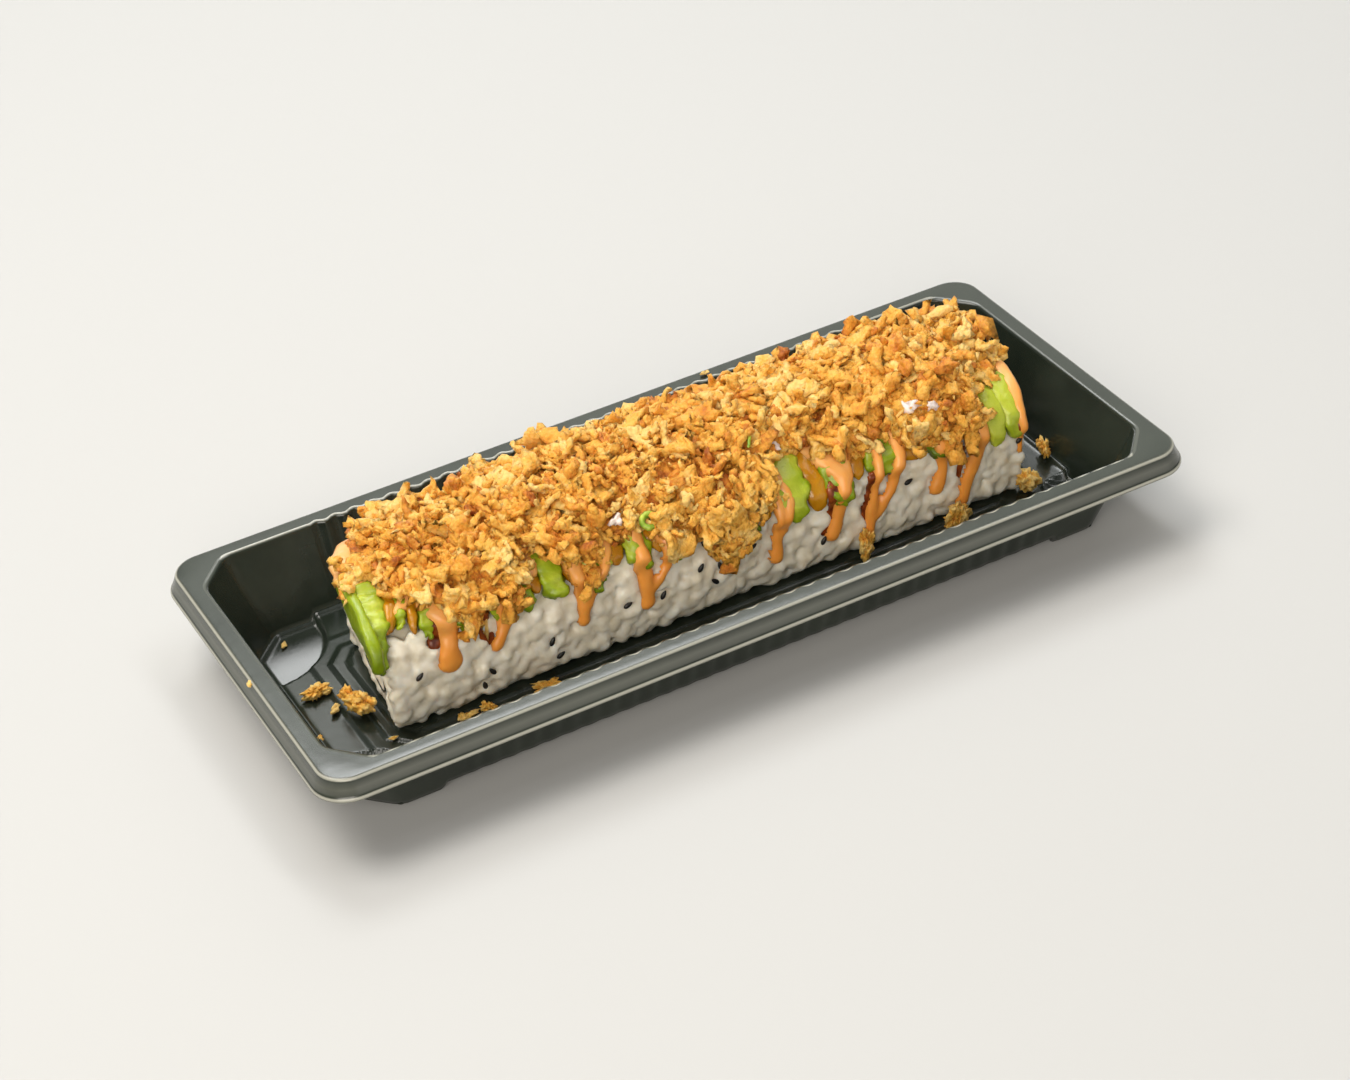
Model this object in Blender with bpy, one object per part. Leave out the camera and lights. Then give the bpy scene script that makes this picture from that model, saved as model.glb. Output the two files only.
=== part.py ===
# Takeaway sushi tray: one uncut inside-out roll in a shallow black plastic tray.
# Slices of avocado and mango lie across the roll, and crispy onion is heaped on them.
# The long side runs along X, the side seen in front faces -Y, and the feet stand on Z = 0.

import math
import random

import bmesh
import bpy
from mathutils import Matrix, Vector, noise

MM = 0.001

# Tray sizes
RIM_HEIGHT = 21.0 * MM
SHEET = 0.5 * MM
OPENING = (96.2 * MM, 40.0 * MM)
OPENING_CUT = (7.2 * MM, 8.2 * MM)
FLOOR_OUTLINE = (89.7 * MM, 33.5 * MM)
FLOOR_CUT = (6.6 * MM, 7.0 * MM)
CORNER_ROUND = 1.6 * MM
LIP_ROUND = 0.9 * MM
FLANGE = (100.9 * MM, 44.7 * MM)
FLANGE_ROUND = 6.6 * MM
FLANGE_BEND = 0.6 * MM
SKIRT_DROP = 3.7 * MM
SKIRT_FLARE = 0.3 * MM
SKIRT_LIP = (0.5 * MM, 0.5 * MM)
FLUTE_PITCH = 4.5 * MM
FLUTE_COUNT = 31
FLUTE_DEPTH = 0.45 * MM
FLUTE_FADE = 0.4
FOOT_CENTRE = (89.5 * MM, 31.0 * MM)
FOOT_RADIUS = 16.2 * MM
FOOT_DRAFT = 0.7 * MM
FLOOR_LEVEL = 2.5 * MM
STEP_RISE = 0.3 * MM
STEPS = (
    ((82.4 * MM, 24.3 * MM), (4.0 * MM, 4.0 * MM)),
    ((78.5 * MM, 20.1 * MM), (4.6 * MM, 5.0 * MM)),
    ((75.5 * MM, 17.8 * MM), (4.1 * MM, 5.0 * MM)),
)
PLATEAU = FLOOR_LEVEL + len(STEPS) * STEP_RISE
GAP = 0.3 * MM

# Roll sizes
ROLL_LEFT = -75.5 * MM
ROLL_RIGHT = 76.5 * MM
ROLL_Y = 1.8 * MM
ROLL_HALF_WIDTH = 18.8 * MM
ROLL_MIDDLE = 16.5 * MM
ROLL_RISE = 12.6 * MM
ROLL_DROP = 14.2 * MM
TOP_SQUARENESS = 2.6
BOTTOM_SQUARENESS = 4.2
ROLL_STATIONS = 17
ROLL_SIDES = 20
ROLL_UNEVEN = 0.9 * MM
# The left end is cut at a slant, so its back stands further in than its front
END_SKEW = 5.0 * MM
SKEW_REACH = 60.0 * MM
GRAIN = (6.4 * MM, 2.9 * MM, 2.6 * MM)
GRAIN_ROWS = (6.0 * MM, 9.8 * MM, 13.6 * MM, 17.2 * MM)
GRAIN_STEP = 7.9 * MM
GRAIN_CEILING = 19.6 * MM
SEED = (2.3 * MM, 1.3 * MM, 1.0 * MM)
SEED_SPOTS = (
    (-69.6, 17.3), (-55.9, 9.0), (-53.9, 11.8), (-39.9, 13.3), (-38.3, 9.1), (-22.0, 15.0),
    (-13.7, 14.1), (-4.4, 17.2), (-1.4, 12.5), (0.1, 15.9), (8.1, 17.5), (25.3, 12.0),
    (47.0, 18.5), (61.1, 18.0),
)
# Sauce drips on the front: place along X, lower end, width and sideways drift, in mm
DRIPS = (
    (-62.6, 15.2, 5.4, -0.8), (-51.4, 16.8, 4.2, 0.8), (-32.6, 14.4, 4.8, 0.6),
    (-17.0, 12.2, 4.4, -0.4), (13.6, 10.2, 4.2, 0.5), (28.4, 11.2, 4.4, 0.9),
    (38.0, 9.2, 3.6, 1.4), (54.4, 13.4, 4.0, 0.8), (61.2, 8.6, 4.8, 1.8),
)
DRIP_THICKNESS = 1.5 * MM
DRIP_TOP = 18.6 * MM

# Nori sizes, as seen in the cut end
NORI_THICKNESS = 0.35 * MM
NORI_Y = -1.0 * MM
NORI_HALF_WIDTH = 8.2 * MM
NORI_BOTTOM = 8.0 * MM
NORI_TOP = 19.0 * MM
NORI_ROUND = 3.5 * MM
NORI_PROUD = 0.25 * MM

# Slices across the roll: kind and width along X, from the left end to the right
SLICES = (
    ("mango", 1.8), ("avocado", 3.2), ("mango", 2.4), ("avocado", 4.4), ("mango", 4.0),
    ("avocado", 5.6), ("mango", 2.6), ("avocado", 3.0), ("mango", 2.8), ("avocado", 4.6),
    ("mango", 2.2), ("avocado", 5.2), ("mango", 4.2), ("avocado", 5.8), ("mango", 4.2),
    ("avocado", 5.8), ("mango", 4.0), ("avocado", 4.4), ("mango", 3.8), ("avocado", 4.2),
    ("mango", 3.0), ("avocado", 5.2), ("mango", 4.4), ("avocado", 8.2), ("mango", 4.8),
    ("avocado", 6.0), ("mango", 4.4), ("avocado", 7.8), ("mango", 6.4), ("avocado", 5.4),
    ("mango", 4.8), ("avocado", 5.2), ("avocado", 4.4), ("avocado", 4.8),
)
SLICE_START = -76.4 * MM
SLICE_GAP = 0.3 * MM
SLICE_BED = 0.6 * MM
SLICE_THICKNESS = 2.9 * MM
SLICE_TIP = 1.1 * MM
SLICE_FRONT = 20.6 * MM
SLICE_BACK = 21.5 * MM
SLICE_SLANT = 2.0 * MM
SLICE_STATIONS = 8
# The slice laid over the cut end: outline on the end face, Y and Z in mm
END_SLICE = (
    (-19.9, 23.2), (-20.2, 26.4), (-17.6, 29.6), (-12.5, 31.8), (-5.0, 33.0), (3.0, 33.2),
    (6.5, 31.5), (5.2, 26.8), (-1.5, 25.6), (-8.5, 25.8), (-14.0, 24.4), (-18.0, 22.2),
)
END_SLICE_THICKNESS = 2.6 * MM
END_SLICE_CLEAR = 0.5 * MM

# Onion heap and loose flakes
HEAP_LEFT = -71.5 * MM
HEAP_RIGHT = 77.5 * MM
HEAP_HALF_WIDTH = 17.2 * MM
HEAP_TOP = 39.2 * MM
HEAP_END_DROP = 2.5 * MM
HEAP_END_TAPER = 0.3
HEAP_EDGE = 29.2 * MM
HEAP_STATIONS = 17
HEAP_FLAKES = 68
HEAP_COVER = 4.1 * MM
LOOSE_FLAKES = (
    (-83.6, 6.6, 3.3, 6.4, 3.4, 2.6, 20.0), (-78.4, -0.8, 3.9, 6.6, 5.2, 5.0, -55.0),
    (-54.6, -19.6, 3.9, 3.2, 2.6, 2.2, -35.0), (-41.4, -19.4, 3.9, 8.4, 2.4, 1.8, 4.0),
    (35.4, -19.6, 4.4, 5.4, 3.4, 5.6, 60.0), (57.2, -20.6, 4.4, 6.6, 3.2, 7.4, 12.0),
    (80.6, -15.6, 3.4, 6.2, 4.4, 4.8, -28.0), (88.2, -7.0, 2.9, 9.0, 2.8, 2.2, 72.0),
)


def clear_scene():
    for obj in list(bpy.data.objects):
        bpy.data.objects.remove(obj, do_unlink=True)


def make_collection(name):
    collection = bpy.data.collections.new(name)
    bpy.context.scene.collection.children.link(collection)
    return collection


def make_material(name, colour, roughness):
    material = bpy.data.materials.new(name)
    material.use_nodes = True
    shader = material.node_tree.nodes["Principled BSDF"]
    shader.inputs["Base Color"].default_value = (*colour, 1.0)
    shader.inputs["Roughness"].default_value = roughness
    shader.inputs["Metallic"].default_value = 0.0
    return material


def finish_mesh(name, bm, collection, material=None, smooth_angle=None):
    bmesh.ops.remove_doubles(bm, verts=bm.verts, dist=0.001 * MM)
    bmesh.ops.recalc_face_normals(bm, faces=bm.faces)
    mesh = bpy.data.meshes.new(name)
    bm.to_mesh(mesh)
    bm.free()
    obj = bpy.data.objects.new(name, mesh)
    collection.objects.link(obj)
    if material:
        mesh.materials.append(material)
    if smooth_angle:
        mesh.shade_smooth()
        mesh.set_sharp_from_angle(angle=math.radians(smooth_angle))
    return obj


def make_cutter(name, bm, collection):
    obj = finish_mesh(name, bm, collection)
    obj.hide_render = True
    obj.display_type = "WIRE"
    return obj


def combine(obj, other, operation):
    # Other is one object or a whole collection, and its objects are removed afterwards
    modifier = obj.modifiers.new(operation.title(), "BOOLEAN")
    modifier.operation = operation
    modifier.solver = "EXACT"
    if isinstance(other, bpy.types.Collection):
        modifier.operand_type = "COLLECTION"
        modifier.collection = other
        used = list(other.objects)
    else:
        modifier.object = other
        used = [other]
    depsgraph = bpy.context.evaluated_depsgraph_get()
    result = bpy.data.meshes.new_from_object(obj.evaluated_get(depsgraph))
    obj.modifiers.clear()
    obj.data = result
    for spent in used:
        bpy.data.objects.remove(spent, do_unlink=True)
    if isinstance(other, bpy.types.Collection):
        bpy.data.collections.remove(other)


def keep_outer_body(obj):
    # Scraps and the walls of sealed hollows are separate shells, smaller than the outer one
    bm = bmesh.new()
    bm.from_mesh(obj.data)
    bmesh.ops.remove_doubles(bm, verts=bm.verts, dist=0.002 * MM)
    bmesh.ops.dissolve_degenerate(bm, edges=bm.edges, dist=0.002 * MM)
    bmesh.ops.holes_fill(bm, edges=[edge for edge in bm.edges if edge.is_boundary])
    bmesh.ops.triangulate(bm, faces=bm.faces)
    unseen = set(bm.verts)
    shells = []
    while unseen:
        start = unseen.pop()
        shell = {start}
        front = [start]
        while front:
            vert = front.pop()
            for edge in vert.link_edges:
                other = edge.other_vert(vert)
                if other in unseen:
                    unseen.remove(other)
                    shell.add(other)
                    front.append(other)
        shells.append(shell)
    largest = max(shells, key=len)
    for shell in shells:
        if shell is not largest:
            bmesh.ops.delete(bm, geom=list(shell), context="VERTS")
    bm.to_mesh(obj.data)
    bm.free()


def loft(bm, rings, close_ends=True):
    # Rings are lists of the same number of points, joined by quads in turn
    rows = [[bm.verts.new(point) for point in ring] for ring in rings]
    count = len(rows[0])
    for lower, upper in zip(rows, rows[1:]):
        for i in range(count):
            j = (i + 1) % count
            bm.faces.new((lower[i], lower[j], upper[j], upper[i]))
    if close_ends:
        bm.faces.new(rows[0][::-1])
        bm.faces.new(rows[-1])
    return rows


def fill_between(bm, outer, inner):
    # A flat ring between two closed loops with unlike numbers of points
    edges = []
    for row in (outer, inner):
        for a, b in zip(row, row[1:] + row[:1]):
            edges.append(bm.edges.get((a, b)))
    bmesh.ops.triangle_fill(bm, edges=edges, use_beauty=True)


# Tray


def rounded_outline(half, cut, radius, steps):
    # A rectangle with cut corners, each of its eight corners rounded by a short arc
    a, b = half
    cut_x, cut_y = cut
    quarter = [(a - cut_x, -b), (a, -b + cut_y)]
    corners = list(quarter)
    corners += [(x, -y) for x, y in reversed(quarter)]
    corners += [(-x, -y) for x, y in quarter]
    corners += [(-x, y) for x, y in reversed(quarter)]
    points = []
    for i, corner in enumerate(corners):
        here = Vector(corner)
        before = (Vector(corners[i - 1]) - here).normalized()
        after = (Vector(corners[(i + 1) % len(corners)]) - here).normalized()
        reach = radius * math.tan((math.pi - before.angle(after)) / 2)
        start = here + before * reach
        end = here + after * reach
        for k in range(steps + 1):
            t = k / steps
            points.append(start * (1 - t) ** 2 + here * 2 * t * (1 - t) + end * t ** 2)
    return points


def flute_offsets():
    # Each flute has one hollow and one crest, from -1 to 1
    first = -FLUTE_COUNT * FLUTE_PITCH / 2
    offsets = []
    for k in range(FLUTE_COUNT * 2 + 1):
        offsets.append((first + k * FLUTE_PITCH / 2, -1 if k % 2 == 0 else 1))
    return offsets


def wall_ring(half, cut, z, flute):
    outline = rounded_outline(half, cut, CORNER_ROUND, 2)
    side = len(outline) // 4
    front = [(x, -half[1] - flute * wave) for x, wave in flute_offsets()]
    back = [(-x, -y) for x, y in front]
    ring = outline[:side * 2] + back + outline[side * 2:] + front
    return [Vector((x, y, z)) for x, y in ring]


def flange_ring(grow, z):
    radius = FLANGE_ROUND + grow
    half_x = FLANGE[0] + grow
    half_y = FLANGE[1] + grow
    ring = []
    for turn, (sx, sy) in enumerate(((1, -1), (1, 1), (-1, 1), (-1, -1))):
        for k in range(6):
            angle = math.radians(-90 + turn * 90 + k * 18)
            x = sx * (half_x - radius) + radius * math.cos(angle)
            y = sy * (half_y - radius) + radius * math.sin(angle)
            ring.append(Vector((x, y, z)))
    return ring


def grown(size, amount):
    return tuple(value + amount for value in size)


def make_tray_shell(collection, material):
    bm = bmesh.new()
    foot_floor = SHEET
    inner = [
        wall_ring(grown(OPENING, LIP_ROUND), OPENING_CUT, RIM_HEIGHT, FLUTE_DEPTH),
        wall_ring(OPENING, OPENING_CUT, RIM_HEIGHT - LIP_ROUND, FLUTE_DEPTH),
        wall_ring(FLOOR_OUTLINE, FLOOR_CUT, foot_floor, FLUTE_DEPTH * FLUTE_FADE),
    ]
    outer = [
        wall_ring(grown(OPENING, LIP_ROUND + SHEET * 0.3), OPENING_CUT, RIM_HEIGHT - SHEET, FLUTE_DEPTH),
        wall_ring(grown(FLOOR_OUTLINE, SHEET), FLOOR_CUT, 0, FLUTE_DEPTH * FLUTE_FADE),
    ]
    lip_out, lip_down = SKIRT_LIP
    skirt_end = RIM_HEIGHT - SKIRT_DROP
    skirt = [
        flange_ring(-FLANGE_BEND, RIM_HEIGHT),
        flange_ring(-FLANGE_BEND * 0.3, RIM_HEIGHT - FLANGE_BEND * 0.3),
        flange_ring(0, RIM_HEIGHT - FLANGE_BEND),
        flange_ring(SKIRT_FLARE, skirt_end),
        flange_ring(SKIRT_FLARE + lip_out, skirt_end - lip_down),
        flange_ring(SKIRT_FLARE + lip_out - SHEET * 0.4, skirt_end - lip_down - SHEET),
        flange_ring(SKIRT_FLARE - SHEET, skirt_end - SHEET * 0.5),
        flange_ring(-SHEET, RIM_HEIGHT - FLANGE_BEND - SHEET * 0.5),
        flange_ring(-FLANGE_BEND - SHEET * 0.5, RIM_HEIGHT - SHEET),
    ]
    inner_rows = loft(bm, inner, close_ends=False)
    outer_rows = loft(bm, outer, close_ends=False)
    skirt_rows = loft(bm, skirt, close_ends=False)
    bm.faces.new(inner_rows[-1])
    bm.faces.new(outer_rows[-1])
    fill_between(bm, skirt_rows[0], inner_rows[0])
    fill_between(bm, skirt_rows[-1], outer_rows[0])
    return finish_mesh("tray", bm, collection, material, smooth_angle=40)


def floor_block(half, cut, low, high, flare=0.0):
    # A flat block of a step's outline, wider by the flare at its top
    bm = bmesh.new()
    rings = []
    for z, amount in ((low, 0), (high, flare)):
        outline = rounded_outline(grown(half, amount), cut, CORNER_ROUND, 1)
        rings.append([Vector((x, y, z)) for x, y in outline])
    loft(bm, rings)
    return bm


def cut_feet(block, radius, low, high, cutters):
    # Takes the four rounded foot corners out of a block
    for sx in (-1, 1):
        for sy in (-1, 1):
            bm = bmesh.new()
            place = Matrix.Translation((sx * FOOT_CENTRE[0], sy * FOOT_CENTRE[1], (low + high) / 2))
            bmesh.ops.create_cone(bm, cap_ends=True, segments=40, radius1=radius - FOOT_DRAFT,
                                  radius2=radius, depth=high - low, matrix=place)
            combine(block, make_cutter("foot_cutter", bm, cutters), "DIFFERENCE")


def make_tray(collection, cutters, material):
    tray = make_tray_shell(collection, material)
    mid = SHEET * 0.5
    flare = (OPENING[0] - FLOOR_OUTLINE[0]) * (FLOOR_LEVEL - mid) / (RIM_HEIGHT - SHEET)
    block = floor_block(grown(FLOOR_OUTLINE, mid), FLOOR_CUT, mid, FLOOR_LEVEL, flare)
    raised = make_cutter("raised_floor", block, cutters)
    half, cut = STEPS[0]
    first_step = make_cutter("first_step", floor_block(half, cut, SHEET, FLOOR_LEVEL + STEP_RISE), cutters)
    combine(raised, first_step, "UNION")
    cut_feet(raised, FOOT_RADIUS, -SHEET, FLOOR_LEVEL + STEP_RISE * 2, cutters)
    combine(tray, raised, "UNION")
    for level, (half, cut) in enumerate(STEPS[1:], start=2):
        step = make_cutter("step", floor_block(half, cut, SHEET, FLOOR_LEVEL + STEP_RISE * level), cutters)
        combine(tray, step, "UNION")
    hollow_half = grown(FLOOR_OUTLINE, 6 * MM)
    hollow = floor_block(hollow_half, FLOOR_CUT, -1 * MM, FLOOR_LEVEL - SHEET)
    under = make_cutter("under_floor", hollow, cutters)
    cut_feet(under, FOOT_RADIUS + SHEET, -2 * MM, FLOOR_LEVEL, cutters)
    combine(tray, under, "DIFFERENCE")
    for level, (half, cut) in enumerate(STEPS[1:], start=2):
        top = FLOOR_LEVEL - SHEET + STEP_RISE * level
        hollow = make_cutter("under_step", floor_block(grown(half, -SHEET), cut, 0, top), cutters)
        combine(tray, hollow, "DIFFERENCE")
    keep_outer_body(tray)
    return tray


# Roll


def section_point(angle, grow=0.0):
    # Angle 0 points to the back (+Y) and a quarter turn points up
    across = math.cos(angle)
    up = math.sin(angle)
    power = 2 / (TOP_SQUARENESS if up >= 0 else BOTTOM_SQUARENESS)
    height = (ROLL_RISE if up >= 0 else ROLL_DROP) + grow
    y = ROLL_Y + math.copysign(abs(across) ** power, across) * (ROLL_HALF_WIDTH + grow)
    z = ROLL_MIDDLE + math.copysign(abs(up) ** power, up) * height
    return y, max(z, PLATEAU + GAP)


def section_angle(z, front, grow=0.0):
    # The angle at which the section reaches a height, on its front or its back
    up = z - ROLL_MIDDLE
    power = 2 / (TOP_SQUARENESS if up >= 0 else BOTTOM_SQUARENESS)
    height = (ROLL_RISE if up >= 0 else ROLL_DROP) + grow
    angle = math.asin(math.copysign(min(abs(up) / height, 1) ** (1 / power), up))
    return math.pi - angle if front else angle


def make_roll_core(collection, material):
    bm = bmesh.new()
    rings = []
    for i in range(ROLL_STATIONS):
        share = i / (ROLL_STATIONS - 1)
        x = ROLL_LEFT + (ROLL_RIGHT - ROLL_LEFT) * share
        squeeze = 0.95 if i in (0, ROLL_STATIONS - 1) else 1.0
        if i == 1:
            x = ROLL_LEFT + 1.2 * MM
        if i == ROLL_STATIONS - 2:
            x = ROLL_RIGHT - 1.2 * MM
        ring = []
        for k in range(ROLL_SIDES):
            y, z = section_point(2 * math.pi * (k + 0.5) / ROLL_SIDES)
            wobble = noise.noise(Vector((x, y, z)) / (9 * MM)) - 0.6
            shrink = squeeze + wobble * ROLL_UNEVEN / ROLL_HALF_WIDTH
            y = ROLL_Y + (y - ROLL_Y) * shrink
            z = max(ROLL_MIDDLE + (z - ROLL_MIDDLE) * shrink, PLATEAU + GAP)
            ring.append(Vector((x, y, z)))
        rings.append(ring)
    loft(bm, rings)
    return finish_mesh("rice_roll", bm, collection, material, smooth_angle=50)


def blob(size, segments, rings, place):
    bm = bmesh.new()
    scale = Matrix.Diagonal((size[0] / 2, size[1] / 2, size[2] / 2, 1))
    turn = Matrix.Rotation(math.pi / 2, 4, "Y")
    bmesh.ops.create_uvsphere(bm, u_segments=segments, v_segments=rings, radius=1,
                              matrix=place @ scale @ turn)
    return bm


def facing(point, outward, along, spin):
    # A frame at a point: Z outward, X along the surface, turned about Z by spin
    z_axis = outward.normalized()
    y_axis = z_axis.cross(along).normalized()
    x_axis = y_axis.cross(z_axis)
    basis = Matrix((x_axis, y_axis, z_axis)).transposed().to_4x4()
    return Matrix.Translation(point) @ basis @ Matrix.Rotation(spin, 4, "Z")


def side_place(x, z, front, spin, sink):
    angle = section_angle(z, front)
    y, _ = section_point(angle)
    y_next, z_next = section_point(angle + 0.02)
    y_last, z_last = section_point(angle - 0.02)
    outward = Vector((0, z_next - z_last, -(y_next - y_last))).normalized()
    point = Vector((x, y, z)) - outward * sink
    return facing(point, outward, Vector((1, 0, 0)), spin)


def add_grain(name, bm, collection):
    # Grains stay above the tray's floor and below the tips of the slices
    heights = [vert.co.z for vert in bm.verts]
    rise = max(PLATEAU + GAP - min(heights), 0) - max(max(heights) - GRAIN_CEILING, 0)
    bmesh.ops.translate(bm, verts=bm.verts, vec=(0, 0, rise))
    finish_mesh(name, bm, collection)


def side_grains(collection, rng):
    columns = int((ROLL_RIGHT - ROLL_LEFT) / GRAIN_STEP)
    for front in (True, False):
        for row, z_row in enumerate(GRAIN_ROWS):
            for column in range(columns):
                if not front and (row + column) % 3:
                    continue
                shift = (column + 0.5 + 0.5 * (row % 2)) * GRAIN_STEP
                x = ROLL_LEFT + shift + rng.uniform(-1.2, 1.2) * MM
                z = z_row + rng.uniform(-0.7, 0.7) * MM
                if x > ROLL_RIGHT - 2 * MM:
                    continue
                size = [value * rng.uniform(0.88, 1.1) for value in GRAIN]
                spin = rng.choice((-1, 1)) * rng.uniform(0.1, 1.0)
                place = side_place(x, z, front, spin, rng.uniform(0.3, 0.8) * MM)
                add_grain("grain", blob(size, 4, 3, place), collection)


def end_grains(collection, rng):
    for x, outward in ((ROLL_LEFT, -1), (ROLL_RIGHT, 1)):
        for row, z_row in enumerate(GRAIN_ROWS[:-1]):
            for column in range(4):
                y = ROLL_Y + (column - 1.5) * 7.4 * MM + rng.uniform(-0.8, 0.8) * MM
                z = z_row + rng.uniform(-0.5, 0.5) * MM
                size = [value * rng.uniform(0.85, 1.05) for value in GRAIN]
                spin = rng.uniform(-0.9, 0.9) + (row % 2) * 0.6
                point = Vector((x - outward * 0.7 * MM, y, z))
                place = facing(point, Vector((outward, 0, 0)), Vector((0, 1, 0)), spin)
                if outward < 0 and z > 17 * MM and y < 8 * MM:
                    continue
                add_grain("grain", blob(size, 4, 3, place), collection)


def sesame_seeds(collection, rng):
    for x, z in SEED_SPOTS:
        place = side_place(x * MM, z * MM, True, rng.uniform(0.2, 1.8), -0.55 * MM)
        add_grain("seed", blob(SEED, 5, 3, place), collection)


def sauce_drips(collection):
    # A drip is a flattened tube down the front face that swells into a drop
    for x, z_end, width, drift in DRIPS:
        rings = []
        steps = 5
        for i in range(steps + 1):
            t = i / steps
            z = DRIP_TOP + (z_end * MM - DRIP_TOP) * t
            half = width * MM / 2 * (0.72 + 0.28 * math.cos(t * 5.2) + 0.22 * t)
            thick = DRIP_THICKNESS * (0.75 + 0.45 * t)
            if i == steps:
                half *= 0.35
                thick *= 0.35
            place = side_place(x * MM + drift * MM * math.sin(t * 3), z, True, 0, 0.3 * MM)
            ring = []
            for k in range(5):
                angle = 2 * math.pi * (k + 0.25) / 5
                ring.append(place @ Vector((half * math.cos(angle), 0, 0.4 * MM + thick * math.sin(angle))))
            rings.append(ring)
        bm = bmesh.new()
        loft(bm, rings)
        finish_mesh("drip", bm, collection)


def nori_path():
    # An open channel, seen in the end: down the back, round the floor of it and up the front
    points = []
    centres = (
        (NORI_Y + NORI_HALF_WIDTH - NORI_ROUND, 0), (NORI_Y - NORI_HALF_WIDTH + NORI_ROUND, -90),
    )
    points.append((NORI_Y + NORI_HALF_WIDTH, NORI_TOP))
    for y, start in centres:
        for k in range(4):
            angle = math.radians(start - k * 30)
            points.append((y + NORI_ROUND * math.cos(angle),
                           NORI_BOTTOM + NORI_ROUND + NORI_ROUND * math.sin(angle)))
    points.append((NORI_Y - NORI_HALF_WIDTH, NORI_TOP))
    return points


def make_channel(name, thickness, left, right, extend, collection, material=None):
    path = [Vector(point) for point in nori_path()]
    path[0].y += extend
    path[-1].y += extend
    inner = []
    outer = []
    for i, point in enumerate(path):
        ahead = path[min(i + 1, len(path) - 1)] - path[max(i - 1, 0)]
        side = Vector((-ahead.y, ahead.x)).normalized() * thickness / 2
        inner.append(point - side)
        outer.append(point + side)
    ring = inner + outer[::-1]
    bm = bmesh.new()
    loft(bm, [[Vector((x, p.x, p.y)) for p in ring] for x in (left, right)])
    return finish_mesh(name, bm, collection, material)


def make_rice_roll(collection, cutters, material):
    rng = random.Random(7)
    roll = make_roll_core(collection, material)
    pieces = make_collection("rice_pieces")
    side_grains(pieces, rng)
    end_grains(pieces, rng)
    sesame_seeds(pieces, rng)
    sauce_drips(pieces)
    combine(roll, pieces, "UNION")
    slot = make_channel("nori_slot", NORI_THICKNESS + 2 * GAP, ROLL_LEFT - 5 * MM, ROLL_RIGHT + 5 * MM,
                        GAP, cutters)
    combine(roll, slot, "DIFFERENCE")
    keep_outer_body(roll)
    return roll


def skew_left_end(obj):
    # The same shift along X for every node of the roll keeps the gaps between them
    front = ROLL_Y - ROLL_HALF_WIDTH
    for vert in obj.data.vertices:
        share = (ROLL_LEFT + SKEW_REACH - vert.co.x) / SKEW_REACH
        if share > 0:
            vert.co.x += END_SKEW * share * (vert.co.y - front) / (2 * ROLL_HALF_WIDTH)


# Slices


def slice_ring(x, width, angle, thickness, lean):
    ring = []
    outer = SLICE_BED + thickness
    for grow, side in ((SLICE_BED, 0), (SLICE_BED, 1), (outer, 1), (outer, 0)):
        y, z = section_point(angle, grow)
        ring.append(Vector((x + width * side + lean, y, z)))
    return ring


def make_slices(collection, materials, rng):
    x = SLICE_START
    for number, (kind, width) in enumerate(SLICES, start=1):
        z_front = SLICE_FRONT + rng.uniform(-0.5, 2.2) * MM
        z_back = SLICE_BACK + rng.uniform(-1.0, 2.0) * MM
        start = section_angle(z_front, True)
        end = section_angle(z_back, False)
        rings = []
        for i in range(SLICE_STATIONS):
            t = i / (SLICE_STATIONS - 1)
            thickness = SLICE_TIP + (SLICE_THICKNESS - SLICE_TIP) * math.sin(math.pi * t) ** 0.6
            lean = SLICE_SLANT * (t - 0.5) * math.sin(math.pi * (number - 1) / (len(SLICES) - 1))
            rings.append(slice_ring(x, width * MM - SLICE_GAP, start + (end - start) * t, thickness, lean))
        bm = bmesh.new()
        loft(bm, rings)
        finish_mesh(f"{kind}_slice_{number:02d}", bm, collection, materials[kind], smooth_angle=50)
        x += width * MM


def make_end_slice(collection, material):
    centre = sum((Vector(point) for point in END_SLICE), Vector((0, 0))) / len(END_SLICE)
    rings = []
    for depth, size in ((0, 0.93), (0.35, 1.0), (0.7, 0.97), (1.0, 0.8)):
        ring = []
        for point in END_SLICE:
            y, z = centre + (Vector(point) - centre) * size
            x = SLICE_START - END_SLICE_CLEAR - depth * END_SLICE_THICKNESS
            ring.append(Vector((x, y * MM, z * MM)))
        rings.append(ring)
    bm = bmesh.new()
    loft(bm, rings)
    return finish_mesh("avocado_end_slice", bm, collection, material, smooth_angle=50)


# Crispy onion


def flake(size, rng, place):
    # A bent chip: a strip of three cross sections, each of four points
    length, width, thickness = size
    rings = []
    curl = rng.uniform(-0.35, 0.35)
    for t in (-0.5, 0.0, 0.5):
        half = width / 2 * (rng.uniform(0.45, 0.85) if t else 1.0)
        thick = thickness / 2 * (rng.uniform(0.6, 0.95) if t else 1.0)
        bow = curl * length * (0.25 - t * t)
        side = rng.uniform(-0.15, 0.15) * width
        ring = [(t * length, side + half, bow - thick), (t * length, side + half, bow + thick),
                (t * length, side - half, bow + thick), (t * length, side - half, bow - thick)]
        rings.append([place @ Vector(point) for point in ring])
    bm = bmesh.new()
    loft(bm, rings)
    return bm


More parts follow.
